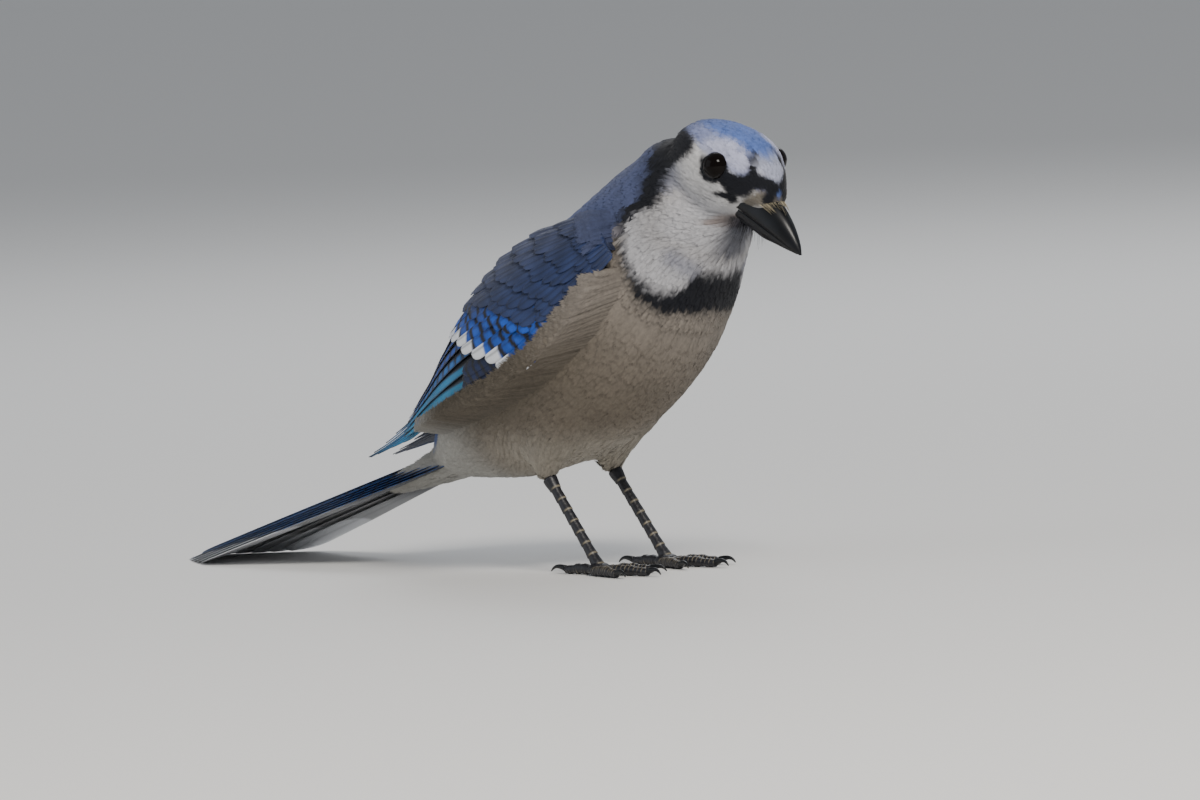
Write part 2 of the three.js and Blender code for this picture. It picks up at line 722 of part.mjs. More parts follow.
function toeSolid(toe, side, ball) {
  const { start, end } = toeLine(toe, side);
  const pads = 4;
  const steps = pads * 2;
  const points = [];
  const radii = [];
  for (let i = 0; i <= steps; i++) {
    const share = i / steps;
    const swell = 0.16 * Math.cos(2 * Math.PI * pads * share);
    const arched = 1.0 * Math.sin(Math.PI * share) ** 2;
    const point = start.clone().lerp(end, share);
    point.z += arched * 0.45;
    points.push(point);
    radii.push(TOE_RADIUS * lerp(1, 0.8, share) + arched * 0.25 - swell);
  }
  return largest(limb(points, radii, 8).subtract(FLOOR).subtract(ball));
}

// Curved claw just beyond the toe's end, its tip above the floor.
function clawSolid(toe, side) {
  const { along, end } = toeLine(toe, side);
  const length = toe.name === "hind" ? HIND_CLAW_LENGTH : CLAW_LENGTH;
  const steps = 4;
  const points = [];
  const radii = [];
  for (let i = 0; i <= steps; i++) {
    const share = i / steps;
    const point = end.clone().addScaledVector(along, GAP + length * Math.sin(1.35 * share) / 1.1);
    point.z += 0.35 + 0.9 * Math.sin(Math.PI * Math.min(1, share * 1.1)) - 0.9 * share;
    points.push(point);
    radii.push(lerp(0.95, 0.18, share ** 0.9));
  }
  return largest(limb(points, radii, 6).subtract(FLOOR));
}

// Colours of the real surfaces
const COLOURS = {
  plumage_grey: [0x9a958c, 0.85],
  plumage_white: [0xdcd9d3, 0.85],
  plumage_blue: [0x3f6fc0, 0.6],
  horn: [0x1b1e24, 0.35],
  scaled: [0x24242a, 0.5],
  eye: [0x0b0706, 0.08],
};

const bird = new THREE.Group();

function place(name, solid, look) {
  const geometry = geometryFrom(solid);
  geometry.computeVertexNormals();
  const [color, roughness] = COLOURS[look];
  const made = new THREE.Mesh(geometry, new THREE.MeshStandardMaterial({ color, roughness, metalness: 0 }));
  made.name = name;
  bird.add(made);
}

// Assembly of the flesh: one fused body, parted by thin cuts behind the head and in front of the shoulders.
const trunk = trunkLoft(TRUNK, 22);
const trunkRoom = trunkLoft(TRUNK, 22, GAP);
const headAndLids = wasm.Manifold.union([headLoft(), eyeLids(1), eyeLids(-1), ...crest(), ...bristles()]);
const billRoom = wasm.Manifold.union([billHalf(UPPER_BILL, false, GAP, BILL_ROOM), billHalf(LOWER_BILL, true, GAP, BILL_ROOM)]);
const whole = wasm.Manifold.union([trunk, headAndLids])
  .subtract(billRoom)
  .subtract(eyeBall(1, GAP))
  .subtract(eyeBall(-1, GAP));

const neckCut = { point: vec(9, 0, 93), normal: vec(0.78, 0, 0.62) };
const headCut = { point: vec(31, 0, 108), normal: vec(0.96, -0.05, 0.27) };
const inFrontOfNeck = halfSpace(neckCut.point, neckCut.normal, GAP / 2);
const behindNeck = halfSpace(neckCut.point, neckCut.normal.clone().negate(), GAP / 2);
const inFrontOfHead = halfSpace(headCut.point, headCut.normal, GAP / 2);
const behindHead = halfSpace(headCut.point, headCut.normal.clone().negate(), GAP / 2);

const tail = buildTail().subtract(FLOOR);
const tailCut = { point: tailPoint(4, 0, 0), normal: vec(-1, 0, -0.35) };
const torsoOnly = whole
  .intersect(behindNeck)
  .subtract(halfSpace(tailCut.point, tailCut.normal));
place("torso", largest(torsoOnly), "plumage_grey");
place("neck", largest(whole.intersect(inFrontOfNeck).intersect(behindHead)), "plumage_grey");
place("head", largest(whole.intersect(inFrontOfHead)), "plumage_white");
place("bill_upper", largest(billHalf(UPPER_BILL, false)), "horn");
place("bill_lower", largest(billHalf(LOWER_BILL, true)), "horn");
place("tail", largest(tail.intersect(halfSpace(tailCut.point, tailCut.normal, GAP)).subtract(trunkRoom)), "plumage_blue");

// Wings: the right one is built and the left one is its mirror image.
const wingPieces = [wingCore(), ...WING_ROWS.flatMap(wingRow), ...primaries()];
const tailRoom = tail.translate([0, 0, GAP]);
const rightHalf = halfSpace(vec(0, 0, 0), vec(0, -1, 0), GAP / 2);
const rightWing = largest(
  fuse(wingPieces)
    .subtract(trunkRoom)
    .subtract(thigh(-1, GAP))
    .subtract(tailRoom)
    .subtract(tail)
    .intersect(rightHalf),
);
place("wing_right", rightWing, "plumage_blue");
place("wing_left", rightWing.mirror([0, 1, 0]), "plumage_blue");

for (const [side, word] of [
  [-1, "right"],
  [1, "left"],
]) {
  place(`eye_${word}`, eyeBall(side), "eye");
  const shankSolid = shank(side);
  const shankRoom = wasm.Manifold.union([
    shankSolid.translate([GAP, 0, 0]),
    shankSolid.translate([-GAP, 0, 0]),
    shankSolid.translate([0, 0, GAP]),
    shankSolid.translate([0, GAP, 0]),
    shankSolid.translate([0, -GAP, 0]),
  ]);
  place(`thigh_${word}`, largest(thigh(side).subtract(trunkRoom).subtract(shankRoom)), "plumage_white");
  place(`shank_${word}`, shankSolid, "scaled");
  TOES.forEach((toe) => {
    place(`toe_${toe.name}_${word}`, toeSolid(toe, side, shankRoom), "scaled");
    place(`claw_${toe.name}_${word}`, clawSolid(toe, side), "horn");
  });
}

// The middle of the bird's box in plan comes over the origin.
const extent = new THREE.Box3().setFromObject(bird);
const middle = extent.getCenter(vec(0, 0, 0));
bird.position.set(-middle.x, -middle.y, 0);

export default bird;
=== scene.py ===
"""A standing blue jay, life size.

Lengths are millimetres in the bird's own axes until put() makes them metres.
"""

import math
from functools import partial

import bmesh
import bpy
import numpy as np
from mathutils import Matrix, Vector
from mathutils.bvhtree import BVHTree


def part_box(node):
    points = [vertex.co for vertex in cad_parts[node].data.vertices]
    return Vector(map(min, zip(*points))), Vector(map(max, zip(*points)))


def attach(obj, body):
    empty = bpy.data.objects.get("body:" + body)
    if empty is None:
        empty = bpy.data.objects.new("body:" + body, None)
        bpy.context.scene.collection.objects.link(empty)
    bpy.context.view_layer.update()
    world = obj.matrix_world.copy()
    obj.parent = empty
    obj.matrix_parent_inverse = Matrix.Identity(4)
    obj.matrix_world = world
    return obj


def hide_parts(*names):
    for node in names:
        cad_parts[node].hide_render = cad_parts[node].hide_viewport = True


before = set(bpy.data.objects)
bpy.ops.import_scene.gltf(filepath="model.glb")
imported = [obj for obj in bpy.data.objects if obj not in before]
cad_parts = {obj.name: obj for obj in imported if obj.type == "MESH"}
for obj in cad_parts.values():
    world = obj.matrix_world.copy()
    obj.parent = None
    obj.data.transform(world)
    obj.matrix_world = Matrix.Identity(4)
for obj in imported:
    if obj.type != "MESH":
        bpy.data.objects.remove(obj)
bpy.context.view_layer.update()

# Driving sizes, as in the part's source
EYE_RADIUS = 4.1
BILL_LENGTH = 24.0
TAIL_LENGTH = 128.0
TAIL_SLOPE_DEG = 16.6
HEAD_CENTRE = np.array([46.5, -0.5, 119.7])
HEAD_PITCH_DEG = 31.0
HEAD_YAW_DEG = 4.0
EYE_PLACE = np.array([0.0, 10.9, 1.4])
TAIL_ROOT = np.array([-74.0, 0.0, 35.5])
FOOT = np.array([-9.0, 14.0])
HEEL = np.array([-29.0, 13.5, 29.0])
SHANK_RADIUS = 1.45
TOE_RADIUS = 1.35

# Trunk from the tail's root to inside the head: x, z, side, up, down
TRUNK = np.array(
    [
        (-83, 35, 9, 5.5, 7),
        (-74, 38.5, 15.5, 10.5, 13.5),
        (-60, 46.5, 23, 20, 22),
        (-43, 56.5, 29, 27, 28),
        (-25, 67.5, 32, 30.5, 32),
        (-7, 79.5, 30.5, 30, 31),
        (8, 92, 26, 27.5, 27.5),
        (20, 102, 20.5, 25.5, 23),
        (30, 109.5, 16, 21.5, 18),
    ]
)

# Head from the nape to the bill, in its own axes: x, z, side, up, down
HEAD = np.array(
    [
        (-22, -5, 9.5, 8, 8),
        (-17, -3.5, 13, 9.6, 11.6),
        (-9, -1.5, 14.8, 10.2, 14.8),
        (-2, 0, 14, 9.7, 15.6),
        (4, -0.8, 12.2, 10.7, 14.2),
        (9, -2, 9.6, 10.5, 11.6),
        (13, -2.8, 7.2, 9.2, 7.2),
        (16.5, -3.4, 5, 6.9, 3.2),
    ]
)

# Bill halves: x, side, height
UPPER_BILL = np.array(
    [
        (-5, 8, 6),
        (0, 6.8, 7.3),
        (5, 5.8, 7.3),
        (10, 4.9, 6.6),
        (15, 3.8, 5.4),
        (19, 2.7, 3.9),
        (22.5, 1.5, 2.2),
        (24.8, 0.4, 0.6),
    ]
)
LOWER_BILL = np.array(
    [
        (-5, 7.8, 4.6),
        (0, 6.5, 5.2),
        (5, 5.4, 5),
        (10, 4.4, 4.8),
        (15, 3.2, 3.4),
        (19, 2.1, 2.2),
        (23.2, 0.5, 0.6),
    ]
)
BILL_ROOT = np.array([8.5, 0, -8.0])
BILL_DROP_DEG = 2.0

# Camera: its direction, distance and the photo's scale, 1200 by 800 pixels
CAMERA_AZIMUTH_DEG = 46.0
CAMERA_ELEVATION_DEG = 4.0
CAMERA_ROLL_DEG = 3.0
CAMERA_DISTANCE = 4000.0
MM_PER_PIXEL = 0.295
ANCHOR_PIXEL = (650.0, 480.0)  # where the photo shows ANCHOR
ANCHOR = np.array([0.0, 0.0, 27.0])
IMAGE = (1200, 800)

TO_THE_RIGHT = np.array([0, -1.0, 0])
TO_THE_LEFT = np.array([0, 1.0, 0])
MIRROR = np.array([1, -1, 1])


def unit(v):
    v = np.asarray(v, float)
    return v / np.maximum(np.linalg.norm(v, axis=-1, keepdims=True), 1e-9)


def smooth(low, high, x):
    t = np.clip((np.asarray(x, float) - low) / (high - low), 0, 1)
    return t * t * (3 - 2 * t)


def mix(a, b, t):
    return a + (b - a) * t


def turn(axis, degrees):
    return np.array(Matrix.Rotation(math.radians(degrees), 3, axis))


HEAD_TURN = turn("Z", -HEAD_YAW_DEG) @ turn("Y", HEAD_PITCH_DEG)


def from_head(p):
    return HEAD_CENTRE + np.asarray(p, float) @ HEAD_TURN.T


def to_head(p):
    return (p - HEAD_CENTRE) @ HEAD_TURN


# The part's frame has its origin elsewhere: the left eye's box tells where.
eye_low, eye_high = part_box("eye_left")
ORIGIN = np.array((eye_low + eye_high) / 2) * 1000 - from_head(EYE_PLACE)


def put(points):
    """Millimetres in the bird's axes to metres in the row's frame."""
    return (np.asarray(points, float) + ORIGIN) / 1000


# Meshes from arrays


def new_object(name, points, faces, colours=None):
    """A mesh object from points in millimetres and an array or list of faces."""
    mesh = bpy.data.meshes.new(name)
    points = put(points)
    faces = np.asarray(faces, dtype=np.int32) if not isinstance(faces, list) else faces
    if isinstance(faces, np.ndarray):
        count, corners = faces.shape
        mesh.vertices.add(len(points))
        mesh.vertices.foreach_set("co", points.astype(np.float32).ravel())
        mesh.loops.add(count * corners)
        mesh.loops.foreach_set("vertex_index", faces.ravel())
        mesh.polygons.add(count)
        mesh.polygons.foreach_set("loop_start", np.arange(0, count * corners, corners, dtype=np.int32))
        mesh.update(calc_edges=True)
    else:
        mesh.from_pydata([tuple(p) for p in points], [], faces)
    mesh.polygons.foreach_set("use_smooth", np.ones(len(mesh.polygons), dtype=bool))
    if colours is not None:
        add_colours(mesh, colours)
    obj = bpy.data.objects.new(name, mesh)
    bpy.context.scene.collection.objects.link(obj)
    return obj


def closed_object(name, points, faces, colours=None):
    """A mesh object whose faces all point outwards."""
    obj = new_object(name, points, faces, colours)
    work = bmesh.new()
    work.from_mesh(obj.data)
    bmesh.ops.recalc_face_normals(work, faces=work.faces)
    work.to_mesh(obj.data)
    work.free()
    return obj


def dress(piece, material, slot, *nodes):
    """Gives a piece its material and its body, and hides the nodes that it takes the place of. The slot is
    not used.
    """
    piece.data.materials.append(material)
    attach(piece, "root")
    if nodes:
        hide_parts(*nodes)


def points_of(mesh):
    co = np.empty(len(mesh.vertices) * 3, np.float32)
    mesh.vertices.foreach_get("co", co)
    return co.reshape(-1, 3).astype(float) * 1000 - ORIGIN


def triangles_of(mesh):
    mesh.calc_loop_triangles()
    triangles = np.empty(len(mesh.loop_triangles) * 3, np.int32)
    mesh.loop_triangles.foreach_get("vertices", triangles)
    return triangles.reshape(-1, 3)


def add_colours(mesh, colours):
    layer = mesh.color_attributes.new("Tint", "FLOAT_COLOR", "POINT")
    rgba = np.ones((len(mesh.vertices), 4), np.float32)
    rgba[:, :3] = colours
    layer.data.foreach_set("color", rgba.ravel())


def add_vectors(mesh, name, vectors):
    layer = mesh.attributes.new(name, "FLOAT_VECTOR", "POINT")
    layer.data.foreach_set("vector", np.asarray(vectors, np.float32).ravel())


def add_bake_map(mesh, uv):
    """The bake map, one place for each point."""
    layer = mesh.uv_layers.new(name="OFBake")
    corner = np.empty(len(mesh.loops), np.int32)
    mesh.loops.foreach_get("vertex_index", corner)
    layer.data.foreach_set("uv", uv[corner].astype(np.float32).ravel())


def grid_faces(rows, columns, wrap=False):
    """Quads over a grid of rows by columns, closed across the columns with wrap."""
    across = columns if wrap else columns - 1
    r, c = np.meshgrid(np.arange(rows - 1), np.arange(across), indexing="ij")
    nxt = (c + 1) % columns
    below = (r + 1) * columns
    return np.stack([r * columns + c, r * columns + nxt, below + nxt, below + c], -1).reshape(-1, 4)


def tube(rings, first_pole=None, last_pole=None):
    """Points and faces of a closed tube through rings of points, with a fan at each end."""
    rings = np.asarray(rings, float)
    rows, columns = rings.shape[:2]
    first = rings[0].mean(0) if first_pole is None else first_pole
    last = rings[-1].mean(0) if last_pole is None else last_pole
    points = np.vstack([rings.reshape(-1, 3), first, last])
    faces = [tuple(f) for f in grid_faces(rows, columns, wrap=True)]
    a, b = rows * columns, rows * columns + 1
    end = (rows - 1) * columns
    for i in range(columns):
        j = (i + 1) % columns
        faces.append((a, j, i))
        faces.append((b, end + i, end + j))
    return points, faces


def joined(parts):
    """One list of points and faces from several."""
    points, faces, start = [], [], 0
    for p, f in parts:
        points.append(p)
        faces.extend(tuple(i + start for i in face) for face in f)
        start += len(p)
    return np.vstack(points), faces


def blend_rows(rows, t):
    """Catmull-Rom through the rows at each share t of the list."""
    t = np.atleast_1d(np.asarray(t, float))
    n = len(rows)
    place = np.clip(t, 0, 1) * (n - 1)
    i = np.minimum(place.astype(int), n - 2)
    u = (place - i)[:, None]
    a, b, c, d = (rows[np.clip(i + k, 0, n - 1)] for k in (-1, 0, 1, 2))
    u2, u3 = u * u, u * u * u
    return (
        (2 * u3 - 3 * u2 + 1) * b
        + (u3 - 2 * u2 + u) * (c - a) / 2
        + (3 * u2 - 2 * u3) * c
        + (u3 - u2) * (d - b) / 2
    )


def trunk_frames(rows, t):
    """Centre, direction, upward direction and sizes of a loft in the plane Y = 0 at each share t."""
    t = np.atleast_1d(np.asarray(t, float))
    row = blend_rows(rows, t)
    step = blend_rows(rows, t + 0.01) - blend_rows(rows, t - 0.01)
    along = unit(np.stack([step[:, 0], 0 * t, step[:, 1]], 1))
    upward = np.stack([-along[:, 2], 0 * t, along[:, 0]], 1) * np.sign(along[:, :1])
    centre = np.stack([row[:, 0], 0 * t, row[:, 1]], 1)
    return centre, along, upward, row[:, 2:]


def oval_rings(centre, upward, sideways, sizes, sides, inset=0.0):
    """Rings with their own reach to each side, up and down."""
    angle = np.linspace(0, 2 * np.pi, sides, endpoint=False)
    cos, sin = np.cos(angle), np.sin(angle)
    rings = []
    for c, u, (side, up, down) in zip(centre, upward, sizes):
        rise = cos * (np.where(cos > 0, up, down) - inset)
        rings.append(c + rise[:, None] * u + (sin * (side - inset))[:, None] * sideways)
    return np.array(rings)


def trunk_tube(inset):
    centre, along, upward, sizes = trunk_frames(TRUNK, np.linspace(0, 1, 60))
    rings = oval_rings(centre, upward, TO_THE_RIGHT, sizes, 48, inset)
    return tube(rings, centre[0] - along[0] * 1.5, centre[-1] + along[-1] * 5)


def head_tube(inset):
    row = blend_rows(HEAD, np.linspace(0, 1, 40))
    centre = np.stack([row[:, 0], 0 * row[:, 0], row[:, 1]], 1)
    upward = np.tile([0, 0, 1.0], (len(row), 1))
    rings = oval_rings(centre, upward, TO_THE_RIGHT, row[:, 2:], 48, inset)
    points, faces = tube(rings, centre[0] - [2.5 - inset, 0, 0], centre[-1] + [3.2 - inset, 0, 0])
    return from_head(points), faces


def limb_rings(points, radii, sides):
    """Round rings along a line of points."""
    points = np.asarray(points, float)
    along = unit(np.gradient(points, axis=0))
    across = unit(TO_THE_LEFT - along * (along @ TO_THE_LEFT)[:, None])
    upward = np.cross(along, across)
    angle = np.linspace(0, 2 * np.pi, sides, endpoint=False)
    ring = np.cos(angle)[None, :, None] * across[:, None] + np.sin(angle)[None, :, None] * upward[:, None]
    return points[:, None] + ring * np.asarray(radii, float)[:, None, None]


TAIL_DOWN = math.radians(TAIL_SLOPE_DEG)
TAIL_BACK = np.array([-math.cos(TAIL_DOWN), 0, -math.sin(TAIL_DOWN)])
TAIL_UP = np.array([-math.sin(TAIL_DOWN), 0, math.cos(TAIL_DOWN)])

# Fleshy root of the tail, along the tail: x, side, up, down
TAIL_PLUG = np.array(
    [(-14, 9.5, 7, 9), (2, 9, 6, 8), (14, 8.4, 3.6, 7.2), (26, 7.4, 2.2, 6), (38, 5.6, 0.8, 4.4)]
)


def tail_plug(inset):
    x, side, up, down = blend_rows(TAIL_PLUG, np.linspace(0, 1, 24)).T
    centre = TAIL_ROOT + x[:, None] * TAIL_BACK
    upward = np.tile(TAIL_UP, (len(x), 1))
    rings = oval_rings(centre, upward, TO_THE_RIGHT, np.stack([side, up, down], 1), 36, inset)
    return tube(rings, centre[0], centre[-1] + TAIL_BACK * 2 - TAIL_UP)


# Balls of flesh that fill the hollows between head and trunk
NAPE = np.array([19.5, 0, 118.5])
NAPE_SIZE = np.array([12, 13.5, 9.5])
UNDER_CHIN = np.array([35.5, 0, 103])
UNDER_CHIN_SIZE = np.array([9.5, 9.5, 10])


def sphere(centre, radius, columns=48, rows=24):
    theta = np.linspace(0, np.pi, rows + 2)[1:-1]
    phi = np.linspace(0, 2 * np.pi, columns, endpoint=False)
    rings = np.empty((rows, columns, 3))
    rings[..., 0] = np.sin(theta)[:, None] * np.cos(phi)[None]
    rings[..., 1] = np.sin(theta)[:, None] * np.sin(phi)[None]
    rings[..., 2] = np.cos(theta)[:, None]
    radius = np.asarray(radius, float)
    pole = np.array([0, 0, 1.0]) * radius
    return tube(centre + rings * radius, centre + pole, centre - pole)


def thigh_line(side, shares):
    top = np.array([-21, side * 12, 52.0])
    heel = HEEL * [1, side, 1]
    points = top + (heel - top) * (shares * 1.06)[:, None]
    points[:, 0] -= 3 * np.sin(np.pi * shares)
    return points


def thigh_tube(side, inset):
    shares = np.linspace(0, 1, 16)
    radii = np.interp(shares, [0, 0.3, 0.55, 0.75, 0.9, 1], [14, 12, 9, 6, 3.6, 2.4]) - inset
    return tube(limb_rings(thigh_line(side, shares), radii, 24))


def remeshed(obj, voxel, rounds):
    """obj's shape as one even mesh without inner walls, smoothed."""
    remesh = obj.modifiers.new("Even", "REMESH")
    remesh.mode = "VOXEL"
    remesh.voxel_size = voxel / 1000
    soften = obj.modifiers.new("Soften", "SMOOTH")
    soften.factor = 0.5
    soften.iterations = rounds
    depsgraph = bpy.context.evaluated_depsgraph_get()
    mesh = bpy.data.meshes.new_from_object(obj.evaluated_get(depsgraph))
    obj.modifiers.clear()
    old = obj.data
    obj.data = mesh
    bpy.data.meshes.remove(old)
    mesh.polygons.foreach_set("use_smooth", np.ones(len(mesh.polygons), dtype=bool))
    return obj


# Camera and the photo's landmarks

AZIMUTH = math.radians(CAMERA_AZIMUTH_DEG)
ELEVATION = math.radians(CAMERA_ELEVATION_DEG)
ROLL = math.radians(CAMERA_ROLL_DEG)
RIGHT = np.array([math.cos(AZIMUTH), math.sin(AZIMUTH), 0])
LEVEL = math.cos(ELEVATION)
BACK = np.array([math.sin(AZIMUTH) * LEVEL, -math.cos(AZIMUTH) * LEVEL, math.sin(ELEVATION)])
UP = np.cross(BACK, RIGHT)
IMAGE_RIGHT = RIGHT * math.cos(ROLL) - UP * math.sin(ROLL)
IMAGE_UP = UP * math.cos(ROLL) + RIGHT * math.sin(ROLL)
AIM = (
    ANCHOR
    - IMAGE_RIGHT * (ANCHOR_PIXEL[0] - IMAGE[0] / 2) * MM_PER_PIXEL
    + IMAGE_UP * (ANCHOR_PIXEL[1] - IMAGE[1] / 2) * MM_PER_PIXEL
)
CAMERA_PLACE = AIM + BACK * CAMERA_DISTANCE


def sight(pixel):
    """Direction from the camera through a pixel of the photo."""
    u, v = pixel
    aim = AIM + IMAGE_RIGHT * (u - IMAGE[0] / 2) * MM_PER_PIXEL
    aim = aim - IMAGE_UP * (v - IMAGE[1] / 2) * MM_PER_PIXEL
    return unit(aim - CAMERA_PLACE)


def add_camera():
    data = bpy.data.cameras.new("Camera")
    data.sensor_width = 36
    data.lens = CAMERA_DISTANCE / MM_PER_PIXEL * data.sensor_width / IMAGE[0]
    data.clip_start = 0.1
    data.clip_end = 50
    camera = bpy.data.objects.new("Camera", data)
    bpy.context.scene.collection.objects.link(camera)
    place = np.eye(4)
    place[:3, 0], place[:3, 1], place[:3, 2] = IMAGE_RIGHT, IMAGE_UP, BACK
    place[:3, 3] = put(CAMERA_PLACE)
    camera.matrix_world = Matrix(place)
    bpy.context.scene.camera = camera


# Skin

COAT_DEPTH = 0.7
HEAD_COAT_DEPTH = 0.4
SKIN_VOXEL = 1.1
SKIN_ROUNDS = 16
FILL_ROUNDS = 70


def filled_creases(mesh, rounds):
    """The mesh's points, raised where they lie lower than their neighbours: hollows fill and bulges stay."""
    p = points_of(mesh)
    count = len(p)
    ends = np.empty(len(mesh.edges) * 2, np.int32)
    mesh.edges.foreach_get("vertices", ends)
    a, b = ends.reshape(-1, 2).T
    neighbours = np.maximum(np.bincount(a, minlength=count) + np.bincount(b, minlength=count), 1)
    tri = triangles_of(mesh)
    share = smooth(24, 34, p[:, 2])  # 0 low on the legs
    for step in range(rounds):
        if step % 6 == 0:
            flat = np.cross(p[tri[:, 1]] - p[tri[:, 0]], p[tri[:, 2]] - p[tri[:, 0]])
            sums = [
                sum(np.bincount(tri[:, k], flat[:, c], minlength=count) for k in range(3)) for c in range(3)
            ]
            normal = unit(np.stack(sums, 1))
        sums = [
            np.bincount(a, p[b, c], minlength=count) + np.bincount(b, p[a, c], minlength=count)
            for c in range(3)
        ]
        total = np.stack(sums, 1)
        rise = np.einsum("nc,nc->n", total / neighbours[:, None] - p, normal)
        p = p + normal * (np.maximum(rise, 0) * share * 0.8)[:, None]
    return p


def bill_place(p):
    """Places in the bill's axes: ahead from its root, to the side, and up from the mouth line."""
    return (to_head(p) - BILL_ROOT) @ turn("Y", BILL_DROP_DEG)


def bill_depth(p):
    """How far inside the bill each place lies, in millimetres, negative outside."""
    x, y, z = bill_place(p).T
    ahead = np.clip(x, UPPER_BILL[0, 0], 24)
    side = np.interp(ahead, UPPER_BILL[:, 0], UPPER_BILL[:, 1])
    up = np.interp(ahead, UPPER_BILL[:, 0], UPPER_BILL[:, 2])
    down = np.interp(ahead, LOWER_BILL[:, 0], LOWER_BILL[:, 2])
    height = np.where(z > 0, up, down)
    off = np.hypot(y / side, z / height)
    depth = (1 - off) * np.minimum(side, height)
    return np.where(x < UPPER_BILL[0, 0], -9, depth)


def behind_bill(p):
    """Draws the front of the face in until it lies just inside the bill's base."""
    x, y, z = bill_place(p).T
    off_depth = bill_depth(p)
    low = smooth(5.6, 3.2, z)
    ahead = smooth(-3.5, 2.5, x)
    pull = ahead * low * (x > -5)
    side = np.interp(x, UPPER_BILL[:, 0], UPPER_BILL[:, 1])
    height = np.where(z > 0, 7.0, np.interp(x, LOWER_BILL[:, 0], LOWER_BILL[:, 2]))
    off = np.maximum(np.hypot(y / side, z / height), 1e-3)
    shrink = np.minimum(1, (1 - 0.5 / side) / off)
    scale = 1 - pull * (1 - shrink)
    b = np.stack([x, y * scale, z * scale], 1)
    moved = from_head(b @ turn("Y", BILL_DROP_DEG).T + BILL_ROOT)
    near = (off_depth > -12) & (x > -5) & (x < 22)
    return np.where(near[:, None], moved, p)


def build_skin():
    limbs = [thigh_tube(1, COAT_DEPTH), thigh_tube(-1, COAT_DEPTH)]
    core = [trunk_tube(COAT_DEPTH), head_tube(HEAD_COAT_DEPTH), tail_plug(COAT_DEPTH)]
    core += [sphere(NAPE, NAPE_SIZE), sphere(UNDER_CHIN, UNDER_CHIN_SIZE)]
    points, faces = joined(core + limbs)
    skin = remeshed(new_object("skin", points, faces), SKIN_VOXEL, SKIN_ROUNDS)
    moved = behind_bill(filled_creases(skin.data, FILL_ROUNDS))
    skin.data.vertices.foreach_set("co", put(moved).astype(np.float32).ravel())
    skin.data.update()
    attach(skin, "root")
    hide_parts("torso", "neck", "head", "thigh_right", "thigh_left")
    return skin


class Surface:
    """A triangle mesh in millimetres that answers where the nearest or the sighted point is."""

    def __init__(self, mesh):
        self.points = points_of(mesh)
        self.tri = triangles_of(mesh)
        self.tree = BVHTree.FromPolygons(self.points.tolist(), self.tri.tolist())

    def nearest(self, places):
        found = [self.tree.find_nearest(p) for p in places.tolist()]
        return np.array([f[0] for f in found]), np.array([f[1] for f in found])

    def seen(self, pixel):
        hit = self.tree.ray_cast(Vector(CAMERA_PLACE), Vector(sight(pixel)))
        if hit[0] is None:
            hit = self.tree.find_nearest(Vector(CAMERA_PLACE + sight(pixel) * CAMERA_DISTANCE))
        return np.array(hit[0])

    def scatter(self, count, seed):
        """count random points spread evenly by area."""
        rng = np.random.RandomState(seed)
        a, b, c = (self.points[self.tri[:, k]] for k in range(3))
        area = np.linalg.norm(np.cross(b - a, c - a), axis=1)
        pick = rng.choice(len(area), count, p=area / area.sum())
        u, v = rng.rand(count), rng.rand(count)
        flip = u + v > 1
        u[flip], v[flip] = 1 - u[flip], 1 - v[flip]
        return a[pick] + (b - a)[pick] * u[:, None] + (c - a)[pick] * v[:, None]


# Where a place lies on the body


def head_share(p):
    """1 on the head, 0 on the trunk, smooth across the neck."""
    h = to_head(p)
    reach = h[:, 0] + 0.25 * h[:, 2]
    return smooth(-24, -9, reach) * smooth(-31, -23, h[:, 2])


TRUNK_STEPS = np.linspace(0, 1, 121)
TRUNK_CENTRES, TRUNK_ALONG, TRUNK_UPWARD, _ = trunk_frames(TRUNK, TRUNK_STEPS)


def trunk_place(p):
    """Share along the trunk and angle in degrees from the back's middle line."""
    offset = p[:, None, :] - TRUNK_CENTRES[None]
    off_plane = np.abs(np.einsum("nkc,kc->nk", offset, TRUNK_ALONG))
    distance = np.linalg.norm(offset, axis=2)
    k = np.argmin(off_plane + 0.05 * distance, axis=1)
    o = offset[np.arange(len(p)), k]
    rise = np.einsum("nc,nc->n", o, TRUNK_UPWARD[k])
    return TRUNK_STEPS[k], np.degrees(np.arctan2(np.abs(o[:, 1]), rise)), TRUNK_ALONG[k]


def near_side(p):
    """Each place or its mirror image on the right side, so that markings match left and right."""
    h = to_head(p)
    h[:, 1] = -np.abs(h[:, 1])
    q = p.copy()
    q[:, 1] = -np.abs(q[:, 1])
    return mix(q, from_head(h), head_share(p)[:, None])


# Markings: lines over the plumage, as places in the photo in pixels, each with a half width in millimetres
NECKLACE = [
    ("hind crown", (678, 143), 4.8),
    ("behind the brow", (664, 157), 3.9),
    ("behind the cheek", (657, 170), 3.6),
    ("cheek's rear", (654, 184), 3.4),
    ("cheek's lower corner", (651, 197), 2.9),
    ("side of the neck", (640, 204), 1.9),
    ("rear of the throat", (627, 212), 1.8),
    ("below the throat's rear", (620, 226), 1.4),
    ("low on the neck", (619, 240), 1.0),
    ("above the collar", (624, 262), 1.0),
    ("collar's start", (631, 277), 1.6),
    ("collar", (643, 295), 2.5),
    ("collar's front", (664, 304), 3.2),
    ("bib's edge", (685, 302), 4.0),
    ("bib", (700, 298), 4.8),
    ("bib's middle", (719, 293), 5.8),
    ("bib's far side", (730, 288), 5.6),
]
LORE = [
    ("eye's front", (724, 177), 2.2),
    ("lore", (735, 186), 3.2),
    ("lore's front", (744, 186), 3.3),
    ("above the bill", (752, 181), 2.6),
    ("nostril", (763, 183), 2.1),
    ("forehead", (775, 187), 1.6),
    ("forehead's middle", (785, 198), 1.8),
]
